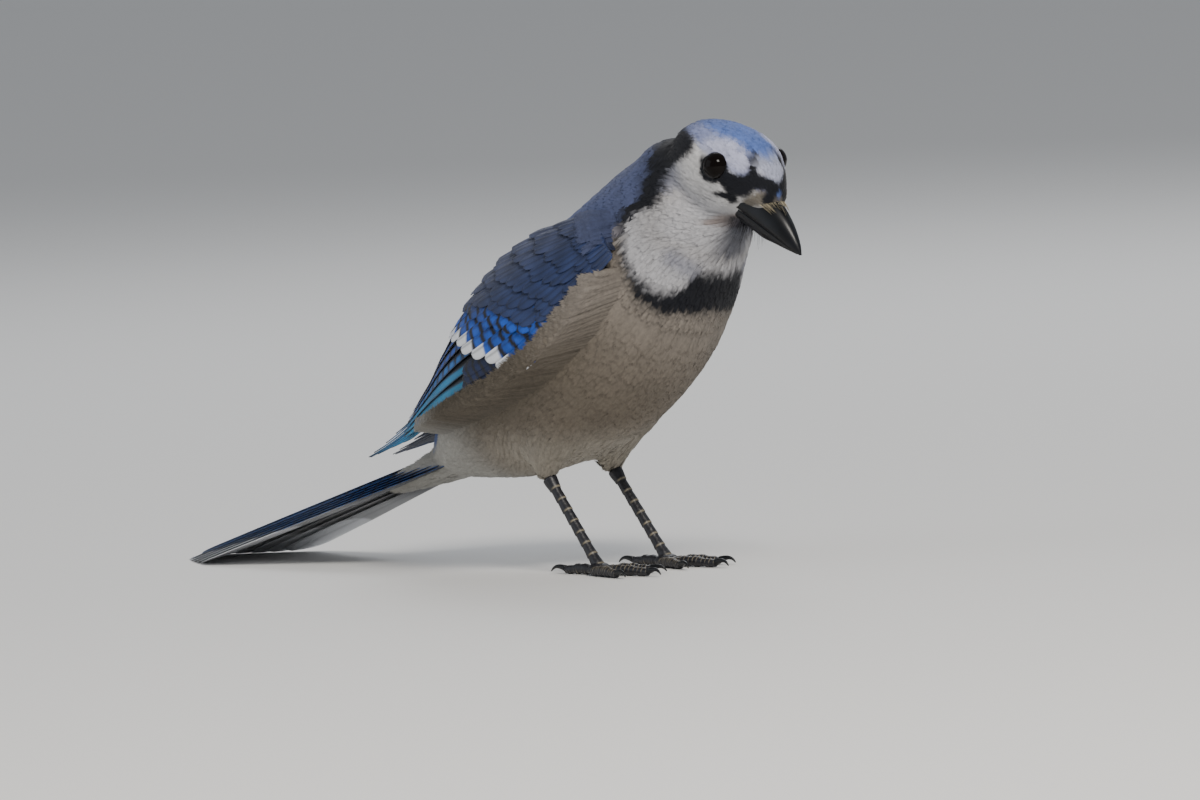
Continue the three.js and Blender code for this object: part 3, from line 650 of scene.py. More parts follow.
BROW_END = [
    ("brow's end", (753, 155), 1.0),
    ("brow's foot", (752, 167), 1.3),
    ("above the bill", (754, 178), 1.5),
]
EYE_LINE = [("behind the eye", (701, 158), 0.5), ("eye", (714, 169), 4.2), ("eye's front", (724, 176), 1.6)]
NASAL = [("nasal tuft", (748, 203), 1.8), ("tuft", (763, 198), 2.4), ("tuft's front", (780, 203), 1.8)]
GAPE_LINE = [("gape's rear", (714, 193), 0.5), ("gape", (724, 195), 0.9), ("gape's front", (733, 199), 1.4)]
MOUSTACHE = [
    ("moustache's rear", (703, 224), 0.5),
    ("moustache", (721, 221), 1.7),
    ("moustache's front", (737, 221), 2.2),
]
BROW = [("brow's rear", (710, 146), 2.0), ("brow", (728, 153), 4.0), ("brow's front", (742, 163), 3.2)]
FOREHEAD = [("far brow", (762, 168), 3.2), ("far forehead", (778, 176), 3.4)]
# Painted shade: a dull blue-grey line in the fold of the throat.
THROAT_SHADE = [("throat's shade", (672, 258), 2.6), ("throat's fold", (694, 272), 2.4)]
THROAT_EDGE = [
    ("neck", (640, 208)),
    ("rear", (624, 222)),
    ("lower rear", (622, 250)),
    ("collar", (640, 292)),
    ("bib", (690, 305)),
    ("front", (735, 295)),
]


def pixel_of(p):
    """Where the photo shows each place."""
    off = p - CAMERA_PLACE
    depth = -(off @ BACK)
    scale = CAMERA_DISTANCE / MM_PER_PIXEL / depth
    return np.stack([IMAGE[0] / 2 + off @ IMAGE_RIGHT * scale, IMAGE[1] / 2 - off @ IMAGE_UP * scale], 1)


def landmark_line(marks, skin):
    places = near_side(np.array([skin.seen(pixel) for _, pixel, _ in marks]))
    return places, pixel_of(places), np.array([width for _, _, width in marks])


def to_line(p, line, widths):
    """Distance of each place from the edge of a line that has a half width at each point."""
    best = np.full(len(p), 1e9)
    for a, b, wa, wb in zip(line[:-1], line[1:], widths[:-1], widths[1:]):
        d = b - a
        t = np.clip(((p - a) @ d) / max(d @ d, 1e-6), 0, 1)
        best = np.minimum(best, np.linalg.norm(p - (a + t[:, None] * d), axis=1) - mix(wa, wb, t))
    return best


def line_cover(p, seen_at, line, soft):
    """How far each place lies inside a line as the photo shows it: 1 inside, 0 outside."""
    places, pixels, widths = line
    cover = 1 - smooth(-soft, soft, to_line(seen_at * MM_PER_PIXEL, pixels * MM_PER_PIXEL, widths))
    close = smooth(17, 10, to_line(p, places, 0 * widths))
    return cover * close


def linear(red, green, blue):
    """A colour given as 8-bit screen values, in the renderer's own scale."""
    c = np.array([red, green, blue]) / 255
    return np.where(c <= 0.04045, c / 12.92, ((c + 0.055) / 1.055) ** 2.4)


BLACK = linear(14, 16, 24)
CROWN_BLUE = linear(84, 108, 170)
CROWN_LILAC = linear(128, 136, 172)
BROW_LILAC = linear(178, 180, 202)
CHEEK_WHITE = linear(206, 204, 203)
THROAT_GREY = linear(174, 173, 176)
MANTLE = linear(72, 80, 112)
BACK_BLUE = linear(62, 78, 124)
RUMP = linear(58, 78, 124)
BREAST = linear(136, 128, 119)
# The belly and flank tones hold painted shade of the underside as well as their own colour.
BELLY = linear(108, 99, 87)
FLANK = linear(86, 78, 66)
VENT = linear(146, 144, 138)
THIGH = linear(146, 139, 127)
BROWN = linear(120, 98, 84)
BIB = linear(22, 32, 54)
NASAL_DARK = linear(96, 88, 74)


def collar_column(rows):
    """Photo column of the necklace behind the cheek and throat, at photo rows."""
    line = np.array([pixel for _, pixel, _ in NECKLACE[:11]], float)
    return np.interp(rows, line[:, 1], line[:, 0])


class Markings:
    """Colour of the plumage at a place."""

    def __init__(self, skin):
        self.lines = {
            name: landmark_line(marks, skin)
            for name, marks in {
                "necklace": NECKLACE,
                "lore": LORE,
                "brow_end": BROW_END,
                "eye": EYE_LINE,
                "gape": GAPE_LINE,
                "nasal": NASAL,
                "moustache": MOUSTACHE,
                "brow": BROW,
                "forehead": FOREHEAD,
                "throat": THROAT_SHADE,
            }.items()
        }

    def cover(self, p, name, soft=0.5):
        return line_cover(p, self.pixels, self.lines[name], soft)[:, None]

    def trunk_colour(self, p):
        """Blue back, grey below, pale vent."""
        share, angle, _ = trunk_place(p)
        back = mix(MANTLE, BACK_BLUE, smooth(0.86, 0.6, share)[:, None])
        back = mix(back, RUMP, smooth(0.32, 0.12, share)[:, None])
        # Darker and browner towards the belly and on the flanks below the wings: partly the plumage's own
        # tone, partly painted shade of the underside and of the wings' shadow.
        under = mix(BREAST, BELLY, smooth(0.82, 0.55, share)[:, None])
        under = mix(under, FLANK, (smooth(140, 100, angle) * smooth(0.75, 0.5, share))[:, None])
        under = mix(under, VENT, smooth(0.34, 0.16, share)[:, None])
        edge = mix(84.0, 74.0, smooth(0.6, 0.95, share))
        trunk = mix(back, under, smooth(edge - 4, edge + 4, angle)[:, None])
        heel = smooth(-54, -36, p[:, 0]) * smooth(46, 36, p[:, 2])
        return mix(trunk, THIGH, heel[:, None])

    def colour(self, p):
        h = to_head(p)
        q = near_side(p)
        self.pixels = pixel_of(q)
        on_head = head_share(p)[:, None]

        trunk = self.trunk_colour(p)

        # Head: blue crown, white face, grey throat
        from_crown = np.degrees(np.arctan2(np.abs(h[:, 1]), h[:, 2] + 1.5))
        crown_edge = mix(30.0, 22.0, smooth(-6, 12, h[:, 0]))
        face = mix(CHEEK_WHITE, THROAT_GREY, smooth(-5, -14, h[:, 2])[:, None])
        head = mix(CROWN_BLUE, CROWN_LILAC, smooth(crown_edge, crown_edge + 16, from_crown)[:, None])
        head = mix(head, face, smooth(62, 74, from_crown)[:, None])
        head = mix(head, BROW_LILAC, self.cover(q, "brow", 1.6) * 0.9)
        head = mix(head, CHEEK_WHITE, self.cover(q, "forehead", 1.6) * 0.55)
        edge_u = collar_column(self.pixels[:, 1])
        in_front = smooth(edge_u - 4, edge_u + 1, self.pixels[:, 0])[:, None]
        colour = mix(trunk, head, on_head * in_front)
        inside = self.throat_share(q)
        colour = mix(colour, THROAT_GREY, inside * (1 - on_head) * 0.95)
        colour = mix(colour, BROWN, self.cover(q, "moustache", 0.9) * 0.6)
        # Painted shade: a dull blue-grey line in the fold of the throat.
        colour = mix(colour, MANTLE * 0.9, self.cover(q, "throat", 1.8) * 0.45)
        chin = smooth(4.5, 8, h[:, 0]) * smooth(-11, -13, h[:, 2]) * (on_head[:, 0] > 0.5)
        colour = mix(colour, BIB, chin[:, None] * 0.8)
        colour = mix(colour, NASAL_DARK, self.cover(q, "nasal", 0.8) * 0.9)
        dark = {"necklace": 0.7, "lore": 0.5, "brow_end": 0.5, "eye": 0.35, "gape": 0.3}
        for name, soft in dark.items():
            colour = mix(colour, BLACK, self.cover(q, name, soft))
        return colour

    def throat_share(self, q):
        """1 on the pale throat, between the face and the necklace."""
        edge = np.array([pixel for _, pixel in THROAT_EDGE], float)
        u, v = self.pixels.T
        rear = np.interp(v, edge[:4, 1], edge[:4, 0])
        foot = np.interp(u, edge[3:, 0], edge[3:, 1])
        share, _, _ = trunk_place(q)
        inside = smooth(rear - 3, rear + 3, u) * smooth(foot + 4, foot - 4, v)
        return (inside * (share > 0.7) * smooth(196, 208, v))[:, None]


# Coat of small feathers

FACE, CHEEK, CROWN, THROAT, BODY, BACK_FEATHER, LEG, UNDERTAIL = range(8)
KINDS = {
    # length, half width, spacing, rise of the tip, raggedness
    FACE: (2.6, 0.5, 0.7, 0.2, 0.5),
    CHEEK: (5.2, 0.75, 0.95, 0.35, 0.7),
    CROWN: (8.5, 1.4, 1.3, 0.4, 0.35),
    THROAT: (9.0, 0.8, 1.15, 0.45, 0.9),
    BODY: (15.0, 1.15, 1.45, 0.35, 1.0),
    BACK_FEATHER: (12.0, 2.4, 2.0, 0.5, 0.35),
    LEG: (11.0, 1.1, 1.3, 0.7, 1.0),
    UNDERTAIL: (15.0, 1.5, 1.7, 0.5, 0.9),
}


def kind_of(p):
    """Which sort of feather grows at each place."""
    h = to_head(p)
    share, angle, _ = trunk_place(p)
    on_head = head_share(p) > 0.5
    kind = np.where(angle < 80, BACK_FEATHER, BODY)
    kind = np.where((share < 0.3) & (angle > 90), UNDERTAIL, kind)
    kind = np.where((p[:, 2] < 42) & (p[:, 0] > -46), LEG, kind)
    from_crown = np.degrees(np.arctan2(np.abs(h[:, 1]), h[:, 2] + 1.5))
    face = np.where(h[:, 0] > 4, FACE, CHEEK)
    face = np.where((h[:, 2] < -9) & (h[:, 0] < 8), THROAT, face)
    face = np.where((from_crown < 50) & (h[:, 0] < 12), CROWN, face)
    near_front = (share > 0.8) & (angle > 95)
    kind = np.where(near_front & ~on_head, THROAT, kind)
    return np.where(on_head, face, kind)


def lie(p, normal):
    """Direction in which the feathers point at each place, in the surface."""
    h = to_head(p)
    away = unit(h - np.array([22.0, 0, -5.0])) * [1, 1, 0.75]
    head_way = unit(away) @ HEAD_TURN.T
    _, _, along = trunk_place(p)
    trunk_way = -along
    way = mix(trunk_way, head_way, head_share(p)[:, None])
    leg = ((p[:, 2] < 44) & (p[:, 0] > -46))[:, None]
    down = unit(np.array([-0.2, 0, -1.0]))
    way = np.where(leg, mix(way, down, 0.75), way)
    way = way - normal * np.einsum("nc,nc->n", way, normal)[:, None]
    return unit(way)


HASH_PRIMES = np.array([73856093, 19349663, 83492791])


def keep_spaced(p, spacing):
    """Indices of about one place in each cell of its own spacing."""
    kept = []
    for size in np.unique(spacing):
        index = np.flatnonzero(spacing == size)
        cell = np.floor(p[index] / size).astype(np.int64)
        key = np.bitwise_xor.reduce(cell * HASH_PRIMES, axis=1)
        _, first = np.unique(key, return_index=True)
        kept.append(index[first])
    return np.concatenate(kept)


BARBS = 8
BARB_HALF = 0.062


def feather_pattern(seed, ragged):
    """A feather of barbs on both sides of its shaft: share along, share across, height, and faces."""
    rng = np.random.RandomState(seed)
    along, across, height, faces = [], [], [], []
    for side in (-1, 1):
        for k in range(BARBS):
            v0 = 0.04 + 0.86 * k / (BARBS - 1)
            width = math.sin(math.pi * (0.18 + 0.72 * v0)) ** 0.7
            sweep = 0.22 + 0.12 * ragged * rng.rand()
            reach = width * (1 + 0.35 * ragged * (rng.rand() - 0.5))
            tip = min(1.04, v0 + sweep)
            middle = (v0 + 0.45 * (tip - v0), 0.6 * reach)
            start = len(along)
            for v, u, w in [
                (v0 - BARB_HALF, 0.0, 0.0),
                (v0 + BARB_HALF, 0.0, 0.02),
                (middle[0] - BARB_HALF * 0.9, middle[1], -0.03),
                (middle[0] + BARB_HALF * 0.9, middle[1], 0.0),
                (tip, reach * (0.92 if v0 < 0.8 else 0.55), -0.06),
            ]:
                along.append(v)
                across.append(side * u)
                height.append(w)
            for face in [(0, 1, 3), (0, 3, 2), (2, 3, 4)]:
                turned = face if side > 0 else face[::-1]
                faces.append(tuple(start + i for i in turned))
    return np.array(along), np.array(across), np.array(height), np.array(faces)


PATTERNS = 6
SPINE_STEPS = 4


def grow_spines(roots, length, surface):
    """Middle lines of feathers that follow the surface: places, normals and directions at each step."""
    p, n = surface.nearest(roots)
    places, normals, ways = [p], [n], [lie(p, n)]
    for _ in range(SPINE_STEPS - 1):
        p, n = surface.nearest(places[-1] + ways[-1] * (length / (SPINE_STEPS - 1))[:, None])
        n = unit(n + normals[-1])
        way = lie(p, n)
        step = p - places[-1]
        places.append(p)
        normals.append(n)
        ways.append(unit(way + 0.5 * unit(step)))
    return np.stack(places, 1), np.stack(normals, 1), np.stack(ways, 1)


def spine_weights(v):
    """Weights of the spine's steps at the shares v, running on past its end."""
    place = np.clip(v, -0.1, 1.15) * (SPINE_STEPS - 1)
    i = np.clip(np.floor(place).astype(int), 0, SPINE_STEPS - 2)
    t = place - i
    weights = np.zeros((len(v), SPINE_STEPS))
    weights[np.arange(len(v)), i] = 1 - t
    weights[np.arange(len(v)), i + 1] = t
    return weights


def skin_map(p):
    """Where a place lies on the skin laid flat, the head beside the trunk."""
    share, angle, _ = trunk_place(p)
    left = p[:, 1] > 0
    turned = np.where(left, 0.5 + angle / 360, 0.5 - angle / 360)
    h = to_head(p)
    round_head = np.arctan2(h[:, 1], h[:, 2]) / (2 * np.pi) + 0.5
    on_head = head_share(p) > 0.5
    u = np.where(on_head, 0.68 + 0.3 * smooth(-24, 18, h[:, 0]), 0.02 + 0.62 * share)
    v = np.where(on_head, round_head, turned)
    return np.stack([u, 0.02 + 0.96 * v], 1)


PATCH = 0.003
KIND_SPREAD = np.array([0.1, 0.12, 0.18, 0.12, 0.1, 0.3, 0.12, 0.1])  # how far tones differ within a kind
MOST_TRIANGLES = 185000
TRIANGLES_PER_FEATHER = 6 * BARBS
CANDIDATES = 300000


def coat_lines(surface, markings):
    """Middle lines, sizes and tints of the feathers that cover the skin."""
    candidates = surface.scatter(CANDIDATES, seed=11)
    candidates = candidates[clear_of_eyes(candidates)]
    kind = kind_of(candidates)
    kinds = np.array([KINDS[k] for k in range(len(KINDS))])
    spacing = kinds[:, 2][kind]
    kept = keep_spaced(candidates, spacing)
    roots, kind = candidates[kept], kind[kept]
    rng = np.random.RandomState(5)
    order = rng.permutation(len(roots))
    roots, kind = roots[order], kind[order]
    table = kinds[kind]
    length = table[:, 0] * (0.85 + 0.3 * rng.rand(len(roots)))
    half = table[:, 1] * (0.85 + 0.3 * rng.rand(len(roots)))
    places, normals, ways = grow_spines(roots, length, surface)
    shift = (rng.rand(len(roots)) - 0.5)[:, None] * 1.2 * np.minimum(table[:, 1:2], 1)
    tint = np.stack([markings.colour(places[:, s] + shift * ways[:, s]) for s in range(SPINE_STEPS)], 1)
    tint = tint * (1 + KIND_SPREAD[kind] * (rng.rand(len(roots)) - 0.5))[:, None, None]
    swing = (rng.rand(len(roots)) - 0.5) * 0.16 * table[:, 4]
    rise = table[:, 3] * (0.7 + 0.6 * rng.rand(len(roots)))
    return places, normals, ways, length, half, swing, rise, tint


EDGE_SLANT = math.radians(35)
EDGE_FEATHERS = 3000
LONGEST_EDGE_FEATHER = 32


def edge_lines(surface, markings):
    """Loose feathers of breast and flank that lie over the front and lower edges of both wings."""
    rng = np.random.RandomState(9)
    count = EDGE_FEATHERS
    lower = rng.rand(count) < 0.84
    a = np.where(lower, 0.66 * rng.rand(count) ** 1.3, 0.01)
    b = np.where(lower, 1.0, 0.08 + 0.9 * rng.rand(count))
    edge, normal = wing_surface(a, b, 0 * a)
    tailward = unit(wing_surface(a + 0.02, b, 0 * a)[0] - edge)
    step_b = edge - wing_surface(a, b - 0.1, 0 * a)[0]
    mm_per_b = np.linalg.norm(step_b, axis=1) / 0.1
    mm_per_a = np.linalg.norm(wing_surface(a + 0.05, b, 0 * a)[0] - edge, axis=1) / 0.05
    slant = np.where(lower, EDGE_SLANT, 0.1)
    way = unit(tailward * np.cos(slant)[:, None] - unit(step_b) * np.sin(slant)[:, None])
    before = np.where(lower, 5 + 13 * rng.rand(count) * smooth(-0.1, 0.2, a), 3 + 4 * rng.rand(count))
    after = (0.5 + 4.5 * rng.rand(count)) * np.where(lower, smooth(0.62, 0.3, a), 1.2)
    first, first_normal = surface.nearest(edge - way * before[:, None])
    last_a = np.clip(a + after * np.cos(slant) / mm_per_a, 0, 1)
    last_b = b - after * np.sin(slant) / mm_per_b
    last, last_normal = wing_surface(last_a, last_b, 2.0 + 0 * a)
    control = edge + normal * 2.6 - way * 1.5
    share = np.linspace(0, 1, SPINE_STEPS)[None, :, None]
    places = (1 - share) ** 2 * first[:, None] + 2 * share * (1 - share) * control[:, None]
    places = places + share**2 * last[:, None]
    normals = unit((1 - share) * first_normal[:, None] + share * last_normal[:, None])
    ways = unit(np.gradient(places, axis=1))
    length = np.linalg.norm(np.diff(places, axis=1), axis=2).sum(1)
    tint = mix(markings.trunk_colour(first), MANTLE, ((~lower) * smooth(0.92, 0.75, b))[:, None])
    tint = tint * (1 + 0.2 * (rng.rand(count) - 0.5))[:, None]
    tint = np.repeat(tint[:, None], SPINE_STEPS, 1)
    swing = (rng.rand(count) - 0.5) * 0.2
    half = 0.8 + 0.6 * rng.rand(count)
    column, row = pixel_of(near_side(first)).T
    keep = (length < LONGEST_EDGE_FEATHER) & (head_share(first) < 0.02) & (column < collar_column(row) - 5)
    lines = [places, normals, ways, length, half, swing, 0.2 + 0.3 * rng.rand(count), tint]
    lines = [values[keep] for values in lines]
    mirrored = [values * MIRROR for values in lines[:3]] + lines[3:]
    return [np.concatenate(pair) for pair in zip(lines, mirrored)]


def build_coat(surface, markings, material):
    pairs = zip(coat_lines(surface, markings), edge_lines(surface, markings))
    lines = [np.concatenate(pair) for pair in pairs]
    places, normals, ways, length, half, swing, rise, tint = lines
    flat = skin_map(places[:, 0])
    across = np.cross(normals, ways)
    chunk = MOST_TRIANGLES // TRIANGLES_PER_FEATHER
    for made, start in enumerate(range(0, len(length), chunk)):
        pick = np.arange(start, min(start + chunk, len(length)))
        points, faces, colours, uv, leans = [], [], [], [], []
        base = 0
        for pattern in range(PATTERNS):
            index = pick[pick % PATTERNS == pattern]
            ragged = 0.4 + 0.6 * pattern / (PATTERNS - 1)
            v, u, w, f = feather_pattern(pattern, ragged)
            weights = spine_weights(v)
            where = np.einsum("ks,nsc->nkc", weights, places[index])
            normal = unit(np.einsum("ks,nsc->nkc", weights, normals[index]))
            side = unit(np.einsum("ks,nsc->nkc", weights, across[index]))
            reach = u[None] * half[index][:, None]
            bend = swing[index][:, None] * length[index][:, None] * v[None] ** 2
            lift = -0.35 + (0.35 + rise[index][:, None]) * np.clip(v, 0, 1)[None] ** 0.8
            wide = half[index][:, None]
            lift = lift + w[None] * wide - 0.06 * reach**2 / np.maximum(wide, 1)
            blade = where + side * (reach + bend)[..., None] + normal * lift[..., None]
            points.append(blade.reshape(-1, 3))
            leans.append(unit(normal + 0.35 * side * u[None, :, None]).reshape(-1, 3))
            shade = 0.82 + 0.22 * smooth(0.1, 0.7, v)
            steps = np.einsum("ks,nsc->nkc", np.clip(weights, 0, 1), tint[index])
            colours.append((steps * shade[None, :, None]).reshape(-1, 3))
            local = np.stack([v - 0.5, u * 0.5], 1) * PATCH
            uv.append((flat[index][:, None] + local[None]).reshape(-1, 2))
            offsets = base + np.arange(len(index))[:, None, None] * len(v)
            faces.append((f[None] + offsets).reshape(-1, 3))
            base += len(index) * len(v)
        name = "coat_%02d" % (made + 1)
        obj = new_object(name, np.vstack(points), np.vstack(faces), np.vstack(colours))
        add_bake_map(obj.data, np.clip(np.vstack(uv), 0, 1))
        obj.data.normals_split_custom_set_from_vertices(np.vstack(leans).tolist())
        dress(obj, material, "plumage_grey")


def clear_of_eyes(p):
    h = to_head(p)
    clear = np.ones(len(p), bool)
    for side in (-1, 1):
        off = h - EYE_PLACE * [1, side, 1]
        clear &= np.hypot(off[:, 0], off[:, 2]) + 50 * (off[:, 1] * side < -6) > EYE_RADIUS - 0.3
    return clear & (bill_depth(p) < -0.15)


# Materials


def new_material(name):
    material = bpy.data.materials.new(name)
    material.use_nodes = True
    tree = material.node_tree
    return material, tree, tree.nodes["Principled BSDF"]


def add_node(tree, kind, **values):
    node = tree.nodes.new(kind)
    for key, value in values.items():
        if key in node.inputs:
            node.inputs[key].default_value = value
        else:
            setattr(node, key.lower(), value)
    return node


def textured(tree, kind, **values):
    """A texture node that runs with the object."""
    texture = add_node(tree, kind, **values)
    place = tree.nodes.new("ShaderNodeTexCoord")
    tree.links.new(place.outputs["Object"], texture.inputs["Vector"])
    return texture


def in_span(tree, value, low, high, from_low=0.0, from_high=1.0):
    """A value from from_low to from_high brought to low to high."""
    span = add_node(tree, "ShaderNodeMapRange")
    span.inputs["From Min"].default_value = from_low
    span.inputs["From Max"].default_value = from_high
    span.inputs["To Min"].default_value = low
    span.inputs["To Max"].default_value = high
    tree.links.new(value, span.inputs["Value"])
    return span.outputs["Result"]


def tinted(tree, shader, factor):
    """The Tint attribute times factor as the base colour."""
    tint = tree.nodes.new("ShaderNodeVertexColor")
    tint.layer_name = "Tint"
    scaled = add_node(tree, "ShaderNodeVectorMath", operation="SCALE")
    tree.links.new(tint.outputs["Color"], scaled.inputs[0])
    tree.links.new(factor, scaled.inputs["Scale"])
    tree.links.new(scaled.outputs["Vector"], shader.inputs["Base Color"])


def ramped(tree, shader, factor, dark, light, low=0.0, high=1.0):
    """A base colour from dark to light."""
    ramp = tree.nodes.new("ShaderNodeValToRGB")
    ends = ramp.color_ramp.elements
    ends[0].color, ends[1].color = (*dark, 1), (*light, 1)
    ends[0].position, ends[1].position = low, high
    tree.links.new(factor, ramp.inputs["Fac"])
    tree.links.new(ramp.outputs["Color"], shader.inputs["Base Color"])


def bumped(tree, shader, height, strength):
    bump = add_node(tree, "ShaderNodeBump", Strength=strength, Distance=0.0002)
    tree.links.new(height, bump.inputs["Height"])
    tree.links.new(bump.outputs["Normal"], shader.inputs["Normal"])


def set_sockets(shader, **values):
    """Sets the shader's own sockets, each named with _ for a space."""
    for name, value in values.items():
        shader.inputs[name.replace("_", " ")].default_value = value


def plumage_material():
    """Feathers: colour from the Tint attribute, varied by fine streaks and soft clouds."""
    material, tree, shader = new_material("plumage")
    fine = textured(tree, "ShaderNodeTexNoise", Scale=900.0, Detail=2.0)
    cloud = textured(tree, "ShaderNodeTexNoise", Scale=60.0, Detail=3.0)
    total = add_node(tree, "ShaderNodeMath", operation="ADD")
    tree.links.new(fine.outputs["Fac"], total.inputs[0])
    tree.links.new(cloud.outputs["Fac"], total.inputs[1])
    tinted(tree, shader, in_span(tree, total.outputs[0], 0.8, 1.2, 0.6, 1.4))
    set_sockets(shader, Roughness=0.8, Specular_IOR_Level=0.3, Sheen_Weight=0.08, Sheen_Roughness=0.5)
    bumped(tree, shader, fine.outputs["Fac"], 0.3)
    return material


def vane_material():
    """Flight feathers: colour from Tint, with barbs as fine slanting lines in the feather's own lie."""
    material, tree, shader = new_material("vanes")
    own = add_node(tree, "ShaderNodeAttribute", attribute_name="Lie")
    parts = tree.nodes.new("ShaderNodeSeparateXYZ")
    tree.links.new(own.outputs["Vector"], parts.inputs[0])
    across = add_node(tree, "ShaderNodeMath", operation="ABSOLUTE")
    tree.links.new(parts.outputs["X"], across.inputs[0])
    slant = add_node(tree, "ShaderNodeMath", operation="MULTIPLY_ADD")
    slant.inputs[1].default_value = -1.4
    tree.links.new(across.outputs[0], slant.inputs[0])
    tree.links.new(parts.outputs["Y"], slant.inputs[2])
    joined_up = tree.nodes.new("ShaderNodeCombineXYZ")
    tree.links.new(slant.outputs[0], joined_up.inputs["Y"])
    barbs = add_node(tree, "ShaderNodeTexWave", Scale=0.55, Distortion=0.6, Detail=1.0)
    barbs.bands_direction = "Y"
    tree.links.new(joined_up.outputs[0], barbs.inputs["Vector"])
    tinted(tree, shader, in_span(tree, barbs.outputs["Fac"], 0.82, 1.12))
    set_sockets(shader, Roughness=0.48, Specular_IOR_Level=0.4, Sheen_Weight=0.04)
    bumped(tree, shader, barbs.outputs["Fac"], 0.35)
    return material


def horn_material():
    material, tree, shader = new_material("horn")
    cloud = textured(tree, "ShaderNodeTexNoise", Scale=260.0, Detail=6.0)
    ramped(tree, shader, cloud.outputs["Fac"], linear(3, 4, 6), linear(15, 18, 25), 0.35, 0.8)
    set_sockets(shader, Roughness=0.38, Specular_IOR_Level=0.3, Coat_Weight=0.15, Coat_Roughness=0.2)
    bumped(tree, shader, cloud.outputs["Fac"], 0.25)
    return material


def scale_material():
    """Scaly foot: black, with painted highlights along the scales' upper edges, from the Tint attribute."""
    material, tree, shader = new_material("scaled")
    grain = textured(tree, "ShaderNodeTexVoronoi", Scale=900.0)
    tinted(tree, shader, in_span(tree, grain.outputs["Distance"], 0.75, 1.3))
    set_sockets(shader, Roughness=0.42)
    bumped(tree, shader, grain.outputs["Distance"], 0.4)
    return material


def eye_material():
    material, tree, shader = new_material("eye")
    cloud = textured(tree, "ShaderNodeTexNoise", Scale=500.0)
    ramped(tree, shader, cloud.outputs["Fac"], linear(8, 5, 4), linear(16, 9, 6))
    set_sockets(shader, Roughness=0.06, Specular_IOR_Level=0.12)
    return material


# Wing and tail vanes

# Right wing from the shoulder to its tip: x, z, reach to the side and up, angles of its upper and lower edges
WING = np.array(
    [
        (14, 97, 25.5, 24, 52, 96),
        (-4, 82, 33.5, 31, 36, 104),
        (-23, 68.5, 35.5, 33, 26, 104),
        (-42, 58, 32.5, 29.5, 18, 100),
        (-59, 50.5, 26.5, 22, 10, 94),
        (-75, 44.5, 19, 13.5, 8, 88),
        (-90, 38.5, 12.5, 8, 14, 84),
        (-103, 34, 8.5, 5.2, 24, 76),
        (-115, 30.5, 6, 3.2, 40, 66),
    ]
)


def wing_surface(a, b, lift):
    """Places and outward normals of the right wing at a along, b from the upper to the lower edge."""
    centre, _, upward, sizes = trunk_frames(WING, a)
    side_reach, up_reach, upper, lower = sizes.T
    angle = np.radians(mix(upper, lower, b))
    rise, spread = np.cos(angle)[:, None], np.sin(angle)[:, None]
    normal = unit(upward * (rise / up_reach[:, None]) + TO_THE_RIGHT * (spread / side_reach[:, None]))
    place = centre + upward * (rise * up_reach[:, None]) + TO_THE_RIGHT * (spread * side_reach[:, None])
    return place + normal * np.reshape(lift, (-1, 1)), normal


class Vanes:
    """Collects solid feather blades of one object."""

    COLUMNS = 9
    CELLS = (40, 14)
    MARGIN = 0.06

    def __init__(self):
        self.points, self.faces, self.colours, self.lies, self.uv = [], [], [], [], []
        self.base = 0
        self.cell = 0

    def add(self, middle, normal, half, thickness, colour_of, camber=0.12):
        """A blade along middle, half wide to each side, coloured by the function colour_of."""
        rows = len(middle)
        along = unit(np.gradient(middle, axis=0))
        across = unit(np.cross(normal, along))
        normal = unit(np.cross(along, across))
        columns = self.COLUMNS
        share = np.linspace(-1, 1, columns)
        width = share[None] * half[:, None]
        run = np.concatenate([[0], np.cumsum(np.linalg.norm(np.diff(middle, axis=0), axis=1))])
        sink = -camber * width**2 / half.max()
        ridge = 0.12 * np.exp(-((width / 0.45) ** 2))
        body = middle[:, None] + across[:, None] * width[..., None]
        thin = thickness * (1 - 0.75 * np.abs(share) ** 3)[None] * np.linspace(1, 0.5, rows)[:, None]
        top = body + normal[:, None] * (sink + ridge + thin / 2)[..., None]
        bottom = body + normal[:, None] * (sink - thin / 2)[..., None]
        sheet = grid_faces(rows, columns)
        count = rows * columns
        edge = np.concatenate(
            [
                np.arange(columns),
                np.arange(1, rows) * columns + columns - 1,
                (rows - 1) * columns + np.arange(columns - 2, -1, -1),
                np.arange(rows - 2, 0, -1) * columns,
            ]
        )
        rim = np.stack([edge, edge + count, np.roll(edge, -1) + count, np.roll(edge, -1)], 1)
        faces = np.vstack([sheet, sheet[:, ::-1] + count, rim])
        flat_share = np.repeat(share[None], rows, 0)
        flat_run = np.repeat(run[:, None], columns, 1)
        lies = np.stack([width, flat_run, np.full_like(width, self.cell)], -1)
        tops = colour_of(flat_share, flat_run, width, True)
        bottoms = colour_of(flat_share, flat_run, width, False)
        self.points.append(np.vstack([top.reshape(-1, 3), bottom.reshape(-1, 3)]))
        self.colours.append(np.vstack([tops.reshape(-1, 3), bottoms.reshape(-1, 3)]))
        self.lies.append(np.vstack([lies.reshape(-1, 3)] * 2))
        self.faces.append(faces + self.base)
        own = np.stack([(flat_share + 1) / 2, flat_run / run[-1]], -1).reshape(-1, 2)
        for _ in range(2):
            self.uv.append(self.cell_map(own))
        self.base += 2 * count

    def cell_map(self, own):
        """The next free cell of the bake map, filled by the blade."""
        across, down = self.CELLS
        column, row = self.cell % across, (self.cell // across) % down
        self.cell += 1
        inside = own * (1 - 2 * self.MARGIN)
        return (np.array([column, row]) + self.MARGIN + inside) / np.array([across, down])

    def finish(self, name, material, node, mirror=False):
        points = np.vstack(self.points)
        faces = np.vstack(self.faces)
        if mirror:
            points = points * MIRROR
            faces = faces[:, ::-1]
        obj = new_object(name, points, faces, np.vstack(self.colours))
        add_vectors(obj.data, "Lie", np.vstack(self.lies))
        add_bake_map(obj.data, np.vstack(self.uv))
        dress(obj, material, "plumage_blue", node)


